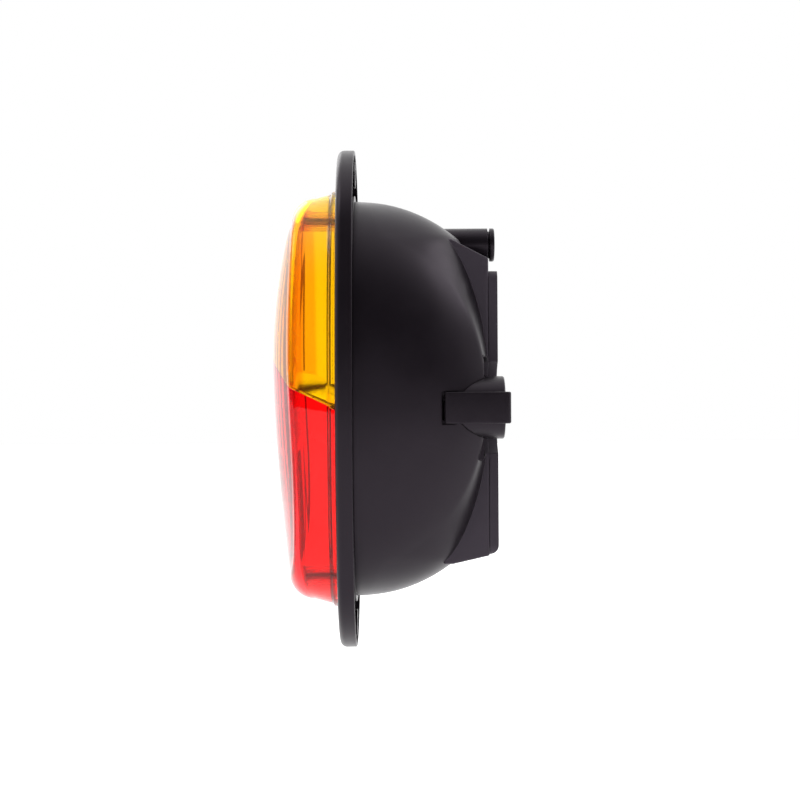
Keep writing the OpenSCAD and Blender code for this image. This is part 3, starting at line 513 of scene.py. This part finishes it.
def lens_skin(up, inner):
    """Rings of one skin of a half lens, from its base lip round the corner to the middle."""
    q = np.linspace(0, 1, COLUMNS + 1)
    ones = np.ones_like(q)
    base_z = outline_point(q, 0.0, LIP_Y, up)[1]
    into_end = (np.abs(base_z) * 2 / LENS_H - END_FROM) / (1 - END_FROM)
    end = np.clip(into_end, 0, 1) ** 2
    draft = DRAFT - end * (TOP_DRAFT_LESS if up > 0 else 0) + inner * WALL
    r = INNER_CORNER + end * INNER_GROWTH if inner else CORNER + end * CORNER_GROWTH
    edge_x, edge_z = outline_point(q, draft + r, CORNER_LEVEL_Y, up)
    edge_y = front_y(edge_x, edge_z) + inner * WALL
    rings = []

    def ring(d, y):
        x, z = outline_point(q, d * ones, y * ones, up)
        rings.append(np.stack([x, y * ones, z], 1))

    if inner:
        ring(2.6, -FLANGE_T)
        ring(2.7, LIP_Y)
    else:
        ring(-1.4, -FLANGE_T)
        ring(-1.35, LIP_Y + 0.6)
        ring(-1.15, LIP_Y + 0.15)
        ring(-0.7, LIP_Y)
        ring(-0.15, LIP_Y)
        ring(0.0, LIP_Y - 0.25)
    side_end = edge_y + r
    for t in np.linspace(0, 1, SIDE_ROWS + 1)[1:-1]:
        y = LIP_Y - 0.4 + (side_end - LIP_Y + 0.4) * t
        ring(inner * (WALL + 0.5) * (1 - t) + draft * t, y)
    for i in range(CORNER_ROWS):
        a = math.pi / 2 * i / CORNER_ROWS
        ring(draft + r - r * math.cos(a), edge_y + r - r * math.sin(a))
    gap = up * HALF_GAP
    centre = DIVIDE_Z + gap
    for i in range(FRONT_ROWS):
        s = 1 - i / FRONT_ROWS
        x = s * edge_x
        z = front_divide_z(x, gap) + s * (edge_z - front_divide_z(edge_x, gap))
        y = front_y(x, z) + inner * WALL
        if inner:
            y = y + pillows(x, z) * min(1, i / 3)
        rings.append(np.stack([x, y, z], 1))
    y = front_y(0.0, centre) + inner * WALL
    return rings, (0.0, float(y), centre)


def pillows(x, z):
    """Optics on the inside of the front: small cushions, but none behind the prism pad."""
    pitch = 6.4
    wave = 0.5 + 0.25 * (np.cos(2 * math.pi * x / pitch) + np.cos(2 * math.pi * z / pitch))
    past_pad = np.maximum(z - PAD_HIGH - 2, PAD_LOW - 2 - z)
    clear_pad = np.clip(np.maximum(np.abs(x) - PAD_HALF_W - 2, past_pad), 0, 3) / 3
    clear_tube = np.clip(np.hypot(x, np.abs(z) - LENS_SCREW_Z) - 6, 0, 3) / 3
    return 0.55 * wave * clear_pad * clear_tube


def lens_half(name, up):
    outer, outer_mid = lens_skin(up, 0)
    inner, inner_mid = lens_skin(up, 1)
    n = COLUMNS + 1
    rings = inner[::-1] + outer
    points, faces = stitch(rings, closed=False)
    rows = len(rings)
    front_in, front_out = 0, (rows - 1) * n
    mid_in, mid_out = len(points), len(points) + 1
    points += [inner_mid, outer_mid]
    for k in range(n - 1):
        faces.append((front_in + k, front_in + k + 1, mid_in))
        faces.append((front_out + k, front_out + k + 1, mid_out))
    # The two cut edges, along the surface where the halves meet
    for column in (0, n - 1):
        inside = [mid_in] + [i * n + column for i in range(len(inner))]
        outside = [mid_out] + [(rows - 1 - i) * n + column for i in range(len(outer))]
        edge_strip(points, faces, inside, outside)
    return make(name, points, faces, sharp=28)


def edge_strip(points, faces, a, b):
    """Fills between two lines of points of different lengths that start and end together."""
    place = [np.array(p) for p in points]
    i = j = 0
    while i < len(a) - 1 or j < len(b) - 1:
        step_a = i < len(a) - 1
        if step_a and j < len(b) - 1:
            across_a = np.linalg.norm(place[a[i + 1]] - place[b[j]])
            across_b = np.linalg.norm(place[a[i]] - place[b[j + 1]])
            step_a = across_a < across_b
        if step_a:
            faces.append((a[i], a[i + 1], b[j]))
            i += 1
        else:
            faces.append((a[i], b[j + 1], b[j]))
            j += 1


def screw_tube(lens, up, z):
    """A tube from inside the front skin down to the flange, with room for the screw."""
    base_rings, steps, r = 8, 64, 5
    skin = np.concatenate(lens_skin(up, 0)[0][base_rings:])
    turns = np.linspace(0, 2 * math.pi, steps, endpoint=False)
    top = []
    for x, v in [(0, z)] + [(r * math.cos(a), z + r * math.sin(a)) for a in turns]:
        near = np.argmin(np.hypot(skin[:, 0] - x, skin[:, 2] - v))
        top.append((x, skin[near, 1] + WALL / 2, v))
    foot = [(x, -FLANGE_T, v) for x, _, v in top]
    rings = [[top[0]] * steps, top[1:], foot[1:], [foot[0]] * steps]
    combine(lens, [make("tube", *stitch(rings))], "UNION", sharp=28)
    return combine(
        lens, [rod("head room", 0, z, -60, -25.4, 4.3), rod("shank room", 0, z, -60, 0, 2.3)],
        sharp=28,
    )


for name, up, material, slot_name in (
    ("lens_amber", 1, amber, "amber_lens"),
    ("lens_red", -1, red, "red_lens"),
):
    lens = screw_tube(lens_half(name + "_moulding", up), up, up * LENS_SCREW_Z)
    settle(lens, "lamp", slot_name, material, name)


def prism_pad():
    """A pad whose back is a lattice of cube corners."""
    pitch = 1.7
    rise = pitch / math.sqrt(2)
    row_gap = pitch * math.sqrt(3) / 2
    rows = int((PAD_HIGH - PAD_LOW) / row_gap)
    cols = int(2 * PAD_HALF_W / pitch)
    front, back = [], []
    for j in range(rows + 1):
        z = PAD_LOW + (PAD_HIGH - PAD_LOW) * j / rows
        for i in range(cols + 1):
            shift = 0.5 * (j % 2) * (0 < i < cols)
            x = -PAD_HALF_W + 2 * PAD_HALF_W * (i + shift - 0.25 * (0 < i < cols)) / cols
            level = (i - j // 2 + 2 * j) % 3 if 0 < i < cols and 0 < j < rows else 0
            y = float(front_y(x, z)) + WALL + 0.3
            front.append((x, y, z))
            back.append((x, y + 1.1 + 0.75 * level * rise / 1.2, z))
    n = cols + 1
    points = front + back
    faces = []
    for side in (0, 1):
        base = side * len(front)
        for j in range(rows):
            for i in range(cols):
                a = base + j * n + i
                if j % 2:
                    faces += [(a, a + 1, a + n + 1), (a, a + n + 1, a + n)]
                else:
                    faces += [(a, a + 1, a + n), (a + 1, a + n + 1, a + n)]
    rim = [j * n for j in range(rows + 1)]
    rim += [rows * n + i for i in range(1, n)]
    rim += [j * n + cols for j in range(rows - 1, -1, -1)]
    rim += list(range(cols - 1, 0, -1))
    for a, b in zip(rim, rim[1:] + rim[:1]):
        faces.append((a, b, b + len(front), a + len(front)))
    return make("reflex_prisms", points, faces, sharp=1)


settle(prism_pad(), "lamp", "reflex_red", reflex, "reflex_reflector")


def divider():
    half_w, gap, thick = 52.5, 0.3, 1.4
    rings = []
    for x in np.linspace(-half_w, half_w, 61):
        front = -DEPTH + SIDE_DROP * x * x + WALL + 0.6
        ys = np.linspace(PLATE_Y, front, 15)
        top = [(x, y, divide_z(x, y) - gap) for y in ys]
        low = [(x, y, z - thick) for x, y, z in reversed(top)]
        rings.append(top + low)
    return make("chamber_wall", *stitch(rings, caps=True))


settle(divider(), "lamp", "metallised", chrome, "chamber_divider")


# ---- Flange ----


def flange():
    def front_edge(a):
        inset = 3 * (1 - math.sin(a))
        y = -FLANGE_T + 3 * (1 - math.cos(a))
        return at_y(oval(FLANGE_W - 2 * inset, FLANGE_H - 2 * inset, FLANGE_END_R - inset), y)

    rings = [
        at_y(oval(110, 160, 46), -FLANGE_T),
        at_y(oval(114, 199, 50), -FLANGE_T),
        at_y(oval(114, 199, 50), -FLANGE_T + 1.5),
        at_y(oval(118, 203, 52), -FLANGE_T + 1.5),
        at_y(oval(118, 203, 52), -FLANGE_T),
    ]
    rings += [front_edge(math.pi / 2 * i / 8) for i in range(9)]
    rings += [
        at_y(oval(FLANGE_W, FLANGE_H, FLANGE_END_R), -0.4),
        at_y(oval(FLANGE_W - 0.8, FLANGE_H - 0.8, FLANGE_END_R - 0.4), 0),
        at_y(oval(104, 154, 43), 0),
        at_y(oval(104, 154, 43), SEAT_Y),
        at_y(oval(110, 160, 46), SEAT_Y),
    ]
    body = make("flange_moulding", *stitch(rings, loop=True))
    recess_rings = [
        at_y(oval(FLANGE_W - 3.6, FLANGE_H - 3.6, FLANGE_END_R - 1.8), -4),
        at_y(oval(FLANGE_W - 3.6, FLANGE_H - 3.6, FLANGE_END_R - 1.8), 1),
        at_y(oval(132, 200, 57), 1),
        at_y(oval(132, 200, 57), -4),
    ]
    recess = make("ear recess", *stitch(recess_rings, loop=True))
    keep = [block("middle", (-90, -10, -70), (90, 10, 70))]
    keep += [rod("boss", 0, s * EAR_Z, -10, 10, 6.5) for s in (-1, 1)]
    combine(recess, keep)
    combine(body, [rod("screw boss", 0, s * LENS_SCREW_Z, -1, 8, 5) for s in (-1, 1)], "UNION")
    cuts = [recess]
    for s in (-1, 1):
        cuts += [
            rod("hole", 0, s * EAR_Z, -20, 20, 2.75),
            rod("head seat", 0, s * EAR_Z, -20, -FLANGE_T + 3, 5.2),
            rod("pilot", 0, s * LENS_SCREW_Z, -20, 6, 1.9),
        ]
    return combine(body, cuts)


settle(flange(), "lamp", "black_plastic", black, "mounting_flange")


# ---- Reflectors: a plate, a dish with flutes, and a collar behind it ----


def reflector(name, z, r, low, high):
    d = FILAMENT_Y - SEAT_Y
    f = (math.sqrt(d * d + r * r) - d) / 2
    vertex = SEAT_Y + r * r / (4 * f)
    hole = 10.3
    plate_outline = [(x, min(max(v, low), high)) for x, v in oval(109.4, 159.4, 45.7)]
    clean = [p for i, p in enumerate(plate_outline) if p != plate_outline[i - 1]]
    plate = prism("plate", clean, "Y", PLATE_Y, SEAT_Y)
    combine(plate, [rod("dish room", 0, z, -10, 0, r, 144)])
    radii = [hole + (r - hole) * t for t in np.linspace(0, 1, 30)]
    rings = []
    steps = 288
    for k in range(steps):
        t = 2 * math.pi * k / steps
        flute = 0.35 * (1 - abs(math.sin(9 * t)))
        outline = []
        for q in radii:
            fade = math.sin(math.pi * (q - hole) / (r - hole))
            outline.append((q, vertex - q * q / (4 * f) - flute * fade))
        outline += [(r, PLATE_Y), (r + 1.1, PLATE_Y), (r + 1.1, SEAT_Y + 0.1)]
        outline += [(q + 1.1, vertex - q * q / (4 * f) + 1.4) for q in reversed(radii)]
        rings.append([(q * math.cos(t), y, z + q * math.sin(t)) for q, y in outline])
    dish = make("dish", *stitch(rings, loop=True), sharp=30)
    collar_outline = [(hole, vertex - 1), (hole + 1.5, vertex - 1), (hole + 1.5, 33), (hole, 33)]
    collar = lathe("collar", collar_outline, 0, z, 72, closed=True)
    return join(name, [plate, dish, collar])


upper_dish = reflector("dish_upper", TURN_Z, 33, 3.2, 90)
settle(upper_dish, "lamp", "metallised", chrome, "reflector_upper")
lower_dish = reflector("dish_lower", STOP_Z, 37, -90, 2.8)
settle(lower_dish, "lamp", "metallised", chrome, "reflector_lower")


# ---- Bulbs ----


def bulb_glass(name, z):
    """A ball of glass that narrows into a neck, with a wall that is thickest at the front."""
    r, neck, centre = BULB_GLASS_R, 7, FILAMENT_Y
    turn, steps = 128, 40
    turns = np.radians(np.linspace(0, turn, steps))
    ball = [(r * math.sin(t), centre - r * math.cos(t)) for t in turns]
    x0, y0 = ball[-1]
    shoulder = []
    for t in np.linspace(0, 1, 14)[1:]:
        ease = 1.3 * t * (1 - t) ** 2
        shoulder.append((x0 + (neck - x0) * t * t * (3 - 2 * t) - 5 * ease, y0 + 7 * t))
    outer = ball + shoulder + [(neck, 26), (neck, 31)]
    inner = [(max(q - 0.8 * min(1, q / 3), 0), y) for q, y in outer[1:]]
    inner = [(0, outer[0][1] + 0.8)] + [
        (q, y + 0.8 * max(0, math.cos(math.radians(turn) * i / (steps - 1))))
        for i, (q, y) in enumerate(inner)
    ]
    return lathe(name, outer + inner[::-1], 0, z, 72, sharp=60)


def filament(name, z, places):
    parts = []
    for i, y in enumerate(places):
        level = z + (y - FILAMENT_Y) * 0.6
        parts.append(tube("coil", helix((-3.1, y, level), "X", 0.55, 12, 6.2, 16), 0.13, 6))
        for s in (-1, 1):
            legs = [(s * 3.1, y, level + 0.5), (s * 3.3, y + 1, level), (s * 3.3, y + 9, level),
                    (s * 2.4, y + 13, z + i), (s * 2.2, 31, z + i)]
            parts.append(tube("leg", curve_points(legs, 6), 0.25, 10))
    bead = lathe("bead", [(0, 24.2)] + arc(0, 26, 1.8, -80, 80, 10) + [(0, 27.8)], 0, z, 32)
    parts.append(bead)
    return join(name, parts)


for lamp, z, places in (
    ("turn", TURN_Z, [FILAMENT_Y]),
    ("stop", STOP_Z, [FILAMENT_Y, FILAMENT_Y + 3]),
):
    body = lamp + "_bulb"
    settle(bulb_glass(lamp + "_envelope", z), body, "bulb_glass", glass, lamp + "_bulb_glass")
    settle(filament(lamp + "_coil", z, places), body, "steel_part", tungsten, lamp + "_filament")
    points = helix((0, 51.55, z), "Y", 5, 4, 3.65, 40)
    spring = tube(lamp + "_spring", points, 0.3)
    settle(spring, "lamp", "steel_part", steel, lamp + "_contact_spring")
    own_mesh(spring)


# ---- Wires ----

for i, (colour, landing) in enumerate(
    zip([(0.55, 0.4, 0.01), (0.6, 0.6, 0.58), (0.01, 0.16, 0.04), (0.5, 0.01, 0.01)],
        [22, 11, -12, -22])
):
    turn = math.radians(90 * i + 45)
    x = PORT_X + 6 * math.cos(turn)
    z = PORT_Z + 6 * math.sin(turn)
    y = 43 - (6.4 if math.cos(turn) > 0 else 4)
    path = curve_points([
        (x, 42.9, z), (x, y, z), (x - 5, y - 2, z), (18, y, landing), (11, y + 3, landing),
        (11, 56.9, landing), (9.5, 58.9, landing), (6, 58.9, landing),
    ])
    wire = tube(f"wire_{i + 1}", path, 0.9, 14)
    settle(wire, "lamp", "wire_cover", wire_cover(f"wire {i + 1}", colour),
           *(["lead_wires"] if i == 0 else []))


# ---- Rear housing ----

def dome_line(z, count):
    """One row of the dome at height z, from the rim at +X over the back to the rim at -X."""
    middle = DOME_B * math.sqrt(1 - (z / DOME_C) ** 2)
    edge = DOME_A * (1 - (abs(z) / DOME_C) ** 2.35) ** (1 / 2.35)
    crease = min(CREASE_X, 0.97 * edge)
    crease_y = middle * math.sqrt(1 - (crease / edge) ** 2)
    top = min(BACK_Y * math.sqrt(1 - (z / BACK_C) ** 2), middle)
    ys = crease_y * np.sin(np.linspace(0, math.pi / 2, 60))[:-1]
    side = np.stack([edge * np.sqrt(1 - (ys / middle) ** 2), ys], 1)
    xs = crease * np.linspace(1, -1, 121)
    back = np.stack([xs, top - (top - crease_y) * (np.abs(xs) / crease) ** 4], 1)
    line = np.concatenate([side, back, side[::-1] * (-1, 1)])
    length = np.concatenate([[0], np.cumsum(np.hypot(*np.diff(line, axis=0).T))])
    at = np.linspace(0, length[-1], count)
    line = np.stack([np.interp(at, length, line[:, k]) for k in (0, 1)], 1)
    line[1:-1] = (line[:-2] + 2 * line[1:-1] + line[2:]) / 4
    return line


def dome():
    count = 220
    heights = DOME_C * np.sin(np.radians(np.linspace(-90, 90, 121)[1:-1]))
    outer = [[(x, y, z) for x, y in dome_line(z, count)] for z in heights]
    shrink = 1 - DOME_WALL / np.array([DOME_A, DOME_B, DOME_C])
    inner = [[tuple(np.array(p) * shrink) for p in row] for row in outer]
    rings = [o + i[::-1] for o, i in zip(outer, inner)]
    points, faces = stitch(rings, closed=True)
    n = 2 * count
    for base, end in ((0, -1), ((len(rings) - 1) * n, 1)):
        tip = len(points)
        points += [(0, 0, end * DOME_C), (0, 0, end * DOME_C * shrink[2])]
        for k in range(count - 1):
            faces.append((base + k, base + k + 1, tip))
            faces.append((base + count + k, base + count + k + 1, tip + 1))
        faces.append((base + count - 1, base + count, tip + 1, tip))
        faces.append((base, base + n - 1, tip + 1, tip))
    return make("housing_moulding", points, faces, sharp=40)


def rounded(half, low, high, r, steps=12):
    return (
        arc(half - r, low + r, r, -90, 0, steps) + arc(half - r, high - r, r, 0, 90, steps)
        + arc(r - half, high - r, r, 90, 180, steps) + arc(r - half, low + r, r, 180, 270, steps)
    )


def housing():
    shell = dome()
    room_half = BOX_HALF - BOX_WALL
    way_side = [(30, -74), (90, -74), (90, 70), (30, 70)]
    way_in = prism("way in", way_side, "X", -room_half, room_half)
    combine(shell, [way_in], sharp=40)
    box_side = [
        (42, -79.4), (46.5, -79.4), (COVER_SEAT_Y, BOX_LOW_Z), (COVER_SEAT_Y, BOX_TOP_Z),
        (62.3, 67.9), (46.5, 76.2), (42, 76.2), (52, 50), (52, -50),
    ]
    box = prism("box", box_side, "X", -BOX_HALF, BOX_HALF, bevel=0.9)
    room = [(30, -76.9), (46.5, -76.9), (65.2, -72.9), (65.2, 58.2), (46.5, 73.7), (30, 73.7)]
    combine(box, [prism("room", room, "X", -room_half, room_half)])
    posts = [rod("post", x, z, 52, 63.4, 4.8) for x, z in COVER_SCREWS]
    pocket = rod("pocket", PORT_X, PORT_Z, POCKET_Y - 2.5, COVER_SEAT_Y, POCKET_R + 2.5)
    combine(pocket, [block("side", (-50, 50, -50), (28, 70, 50))], "INTERSECT")
    floor = rod("floor", PORT_X, PORT_Z, POCKET_Y - 2.5, POCKET_Y, POCKET_R + 1)
    combine(floor, [block("side", (-50, 50, -50), (42.5, 70, 50))], "INTERSECT")
    latch_seat = block("seat", (45, 38, -12.3), (52.4, 47.8, 3.3))
    combine(shell, [box, *posts, pocket, floor, latch_seat], "UNION", sharp=40)
    cuts = [
        rod("pocket", PORT_X, PORT_Z, POCKET_Y, 90, POCKET_R, 128),
        rod("socket", PORT_X, PORT_Z, 48.15, 90, PORT_R + 0.05, 96),
        rod("outlet", 0, OUTLET_Z, 30, 90, OUTLET_R + 0.05, 96),
        block("cover seat", (-BOX_HALF, COVER_SEAT_Y, BOX_LOW_Z), (BOX_HALF, 70, BOX_TOP_Z)),
        block("latch room", (52.4, 40.8, -12.1), (72.4, 59.6, 3.1)),
        block("hinge room", (47.7, 41.2, -10.3), (67.7, 48.8, 1.3)),
    ]
    return combine(shell, cuts, sharp=40)


settle(housing(), "lamp", "black_plastic", black_with_box_sheen, "rear_housing")


def cover():
    low, high, half, low_r = BOX_LOW_Z + 0.2, COVER_TOP_Z, BOX_HALF - 0.2, 4.8
    plan = prism("cover_moulding", rounded(half, low, high, 5), "Y", COVER_SEAT_Y, COVER_Y)
    side = [(63, low), *arc(COVER_Y - low_r, low + low_r, low_r, -90, 0, 16)]
    side += [(COVER_Y, high + 2), (63, high + 2)]
    combine(plan, [prism("side", side, "X", -30, 30)], "INTERSECT")
    cuts = [rod("pocket", PORT_X, PORT_Z, 60, 72, POCKET_R + 0.2, 128)]
    for x, z in COVER_SCREWS:
        cuts += [rod("hole", x, z, 60, 72, 1.8, 32), rod("head", x, z, COVER_Y - 2.2, 72, 3.4, 48)]
    return combine(plan, cuts)


settle(cover(), "lamp", "black_plastic", black_with_box_sheen, "rear_cover")


def screw(x, z, head_y, under_y, tip_y, head_r, shank_r):
    """A pan head screw with a cross recess. Its head looks the way head_y lies."""
    way = 1 if head_y > under_y else -1
    tall = abs(head_y - under_y)
    outline = [
        (0, tip_y), (shank_r * 0.5, tip_y), (shank_r, tip_y + way), (shank_r, under_y),
        (head_r, under_y), (head_r, under_y + way * tall * 0.35),
    ]
    for t in np.radians(np.linspace(0, 90, 9)):
        q = head_r * (0.55 + 0.45 * math.cos(t))
        outline.append((q, under_y + way * tall * (0.35 + 0.65 * math.sin(t))))
    outline.append((0, head_y))
    body = lathe("screw", outline, x, z, 48)
    y0, y1 = sorted((head_y + way, head_y - way * 0.9))
    slots = [
        block("slot", (x - 2.0, y0, z - 0.42), (x + 2.0, y1, z + 0.42)),
        block("slot", (x - 0.42, y0, z - 2.0), (x + 0.42, y1, z + 2.0)),
    ]
    return combine(body, slots)


lens_screws = [screw(0, s * LENS_SCREW_Z, -27.8, -25.4, 5, 3.9, 1.8) for s in (-1, 1)]
settle(join("lens_screw_pair", lens_screws), "lamp", "steel_part", steel, "lens_screws")
cover_screws = [screw(x, z, COVER_Y - 0.2, COVER_Y - 2.2, 54, 3, 1.45) for x, z in COVER_SCREWS]
settle(join("cover_screw_set", cover_screws), "lamp", "steel_part", steel, "cover_screws")


# ---- Cable outlet and connector ----

outlet_outline = [
    (5, 44), (OUTLET_R, 44), (OUTLET_R, 65.2), (7.9, 65.3), (6.9, 65.4), (6.7, 65.6), (6.7, 66.0),
    (6.9, 66.2), (7.9, 66.3), (OUTLET_R, 66.4), (OUTLET_R, 67.9),
    *arc(7.5, 67.9, 0.7, 0, 90, 6)[1:], *arc(5.5, 68.1, 0.5, 90, 180, 4),
]
outlet = lathe("outlet_moulding", outlet_outline, 0, OUTLET_Z, 96, closed=True)
settle(outlet, "lamp", "black_plastic", black, "cable_outlet")

plug_outline = [
    (0, 55), (4, 55), (5, 56), (5, 57.2), (4.3, 57.6), (4.2, 58.4), (4.3, 59.2), (5, 59.6),
    (5, 60.8), (4.3, 61.2), (4.2, 62.1), (4.3, 63), (5, 63.4), (5, 66.6), (4.6, 67), (1.6, 67),
    (1.2, 66.4), (0, 66.4),
]
plug = lathe("plug_moulding", plug_outline, 0, OUTLET_Z, 64)
settle(plug, "lamp", "rubber_seal", rubber, "outlet_plug")


def connector():
    outline = [
        (0, 48.2), (PORT_R, 48.2), (PORT_R, 69.7), *arc(PORT_R - 0.8, 69.7, 0.8, 0, 90, 6)[1:],
        *arc(12.5, 70.0, 0.5, 90, 180, 5), (12, 50.7), (0, 50.7),
    ]
    shell = lathe("connector_moulding", outline, PORT_X, PORT_Z, 128)
    key = block("key", (PORT_X - 1.6, 57, 6.2), (PORT_X + 1.6, 68.5, 8.2))
    return combine(shell, [key], "UNION")


settle(connector(), "lamp", "black_plastic", black, "connector_shell")


# ---- Latch ----


def lever():
    outline = [
        (49.4, 70.9), (54, 70.9), (54, 42.2), *arc(56.2, 43.2, 1, -90, 0, 5),
        *arc(55.2, 70.7, 2, 0, 90, 8), (49.9, 72.7), (49.4, 72.2),
    ]
    body = prism("lever_moulding", outline, "Z", PORT_Z - LEVER_HALF, PORT_Z + LEVER_HALF)
    bm = bmesh.new()
    bm.from_mesh(body.data)
    top = [e for e in bm.edges if e.calc_face_angle(0) > 1.0
           and abs(e.verts[0].co.z - e.verts[1].co.z) < 1e-6]
    bmesh.ops.bevel(bm, geom=top, offset=0.8 * MM, segments=5, profile=0.5, affect="EDGES")
    bm.to_mesh(body.data)
    bm.free()
    knuckle = prism("knuckle", arc(PIN_X, PIN_Y, 2.9, 0, 352.5, 47), "Z", -10.0, -1.6)
    web = block("web", (PIN_X, 42.0, -10.0), (PIN_X + 4, 47.0, -1.6))
    combine(body, [knuckle, web], "UNION")
    return combine(body, [prism("bore", arc(PIN_X, PIN_Y, 1.55, 0, 352.5, 47), "Z", -20, 20)])


settle(lever(), "latch", "black_plastic", latch_black, "latch_lever")
latch_points = helix((PIN_X, PIN_Y, -0.9), "Z", 2.1, 3, 1.7, 40)
legs = [latch_points[0] + (0, -2.4, 0), latch_points[0] + (0, -1, 0)]
latch_coil = tube("latch_coil", legs + latch_points, 0.28)
settle(latch_coil, "lamp", "steel_part", steel, "latch_spring")


# ---- Materials for the CAD nodes that stay ----

KEPT = {
    "lens_gasket": (rubber, "rubber_seal"),
    "cover_gasket": (rubber, "rubber_seal"),
    "connector_seal": (rubber, "rubber_seal"),
    "turn_bulb_cap": (brass, "brass_part"),
    "stop_bulb_cap": (brass, "brass_part"),
    "turn_contact": (brass, "brass_part"),
    "stop_contact": (brass, "brass_part"),
    "lead_frame": (brass, "brass_part"),
    "connector_pins": (brass, "brass_part"),
    "turn_socket": (steel, "steel_part"),
    "stop_socket": (steel, "steel_part"),
    "latch_pin": (steel, "steel_part"),
    "contact_carrier": (resin, "phenolic"),
    "connector_insert": (grey, "grey_plastic"),
}
for name, (material, slot_name) in KEPT.items():
    NODES[name].data.materials.clear()
    NODES[name].data.materials.append(material)


# ---- Studio ----

FLOOR_Z = -0.2
ROOM_DIM, ROOM_BRIGHT = 0.12, 1.47


def studio_floor():
    mesh = bpy.data.meshes.new("floor")
    corners = [(-6, -6), (6, -6), (6, 6), (-6, 6)]
    mesh.from_pydata([(x, y, FLOOR_Z) for x, y in corners], [], [(0, 1, 2, 3)])
    floor = bpy.data.objects.new("studio_floor", mesh)
    bpy.context.scene.collection.objects.link(floor)
    s = Shader("pale floor")
    colour = s.tint(s.noise(3), (0.9, 0.9, 0.9), (0.93, 0.93, 0.93))
    roughness = s.spread(s.noise(8), 0.8, 0.95)
    normal = s.bump(s.noise(300), 0.05, 0.0001)
    glow = {"Emission_Color": (1, 1, 1, 1), "Emission_Strength": 0.38}
    mesh.materials.append(s.out(s.principled(colour, roughness, normal, IOR=1.2, **glow)))


def soft_light(name, place, size, power):
    data = bpy.data.lights.new(name, "AREA")
    data.shape = "DISK"
    data.size = size
    data.energy = power
    light = bpy.data.objects.new(name, data)
    light.location = place
    light.rotation_mode = "QUATERNION"
    aim = Vector((0, 0.015, 0)) - Vector(place)
    light.rotation_quaternion = aim.to_track_quat("-Z", "Y")
    bpy.context.scene.collection.objects.link(light)


def studio_world():
    """A white backdrop on the far side, and a dimmer room on the near side."""
    world = bpy.data.worlds.new("studio")
    world.use_nodes = True
    tree = world.node_tree
    tree.nodes.clear()
    place = tree.nodes.new("ShaderNodeTexCoord")
    dot = tree.nodes.new("ShaderNodeVectorMath")
    dot.operation = "DOT_PRODUCT"
    dot.inputs[1].default_value = (-0.93, 0.0, 0.37)
    room = tree.nodes.new("ShaderNodeMapRange")
    room.interpolation_type = "SMOOTHSTEP"
    room.inputs["From Min"].default_value = -0.55
    room.inputs["From Max"].default_value = 0.4
    room.inputs["To Min"].default_value = ROOM_DIM
    room.inputs["To Max"].default_value = ROOM_BRIGHT
    ray = tree.nodes.new("ShaderNodeLightPath")
    seen = tree.nodes.new("ShaderNodeMix")
    seen.inputs["B"].default_value = 1.0
    back = tree.nodes.new("ShaderNodeBackground")
    back.inputs["Color"].default_value = (1, 1, 1, 1)
    out = tree.nodes.new("ShaderNodeOutputWorld")
    tree.links.new(place.outputs["Generated"], dot.inputs[0])
    tree.links.new(dot.outputs["Value"], room.inputs["Value"])
    tree.links.new(ray.outputs["Is Camera Ray"], seen.inputs["Factor"])
    tree.links.new(room.outputs["Result"], seen.inputs["A"])
    tree.links.new(seen.outputs["Result"], back.inputs["Strength"])
    tree.links.new(back.outputs["Background"], out.inputs["Surface"])
    return world


studio_floor()
soft_light("key", (0.5, -1.1, 1.7), 0.9, 6)
soft_light("fill", (-1.2, -0.8, 0.9), 1.1, 5)
soft_light("back", (0.1, 1.5, 1.3), 1.0, 7)

scene = bpy.context.scene
scene.world = studio_world()
scene.view_settings.view_transform = "Standard"

camera_data = bpy.data.cameras.new("camera")
camera_data.lens = 66.1
camera_data.sensor_width = 36
camera = bpy.data.objects.new("camera", camera_data)
camera.matrix_world = (
    Matrix.Translation((0.73, 0.0216, -0.00075))
    @ Matrix.Rotation(math.radians(-0.33), 4, "X")
    @ Matrix.Rotation(math.radians(90), 4, "Z")
    @ Matrix.Rotation(math.radians(90), 4, "X")
)
scene.collection.objects.link(camera)
scene.camera = camera
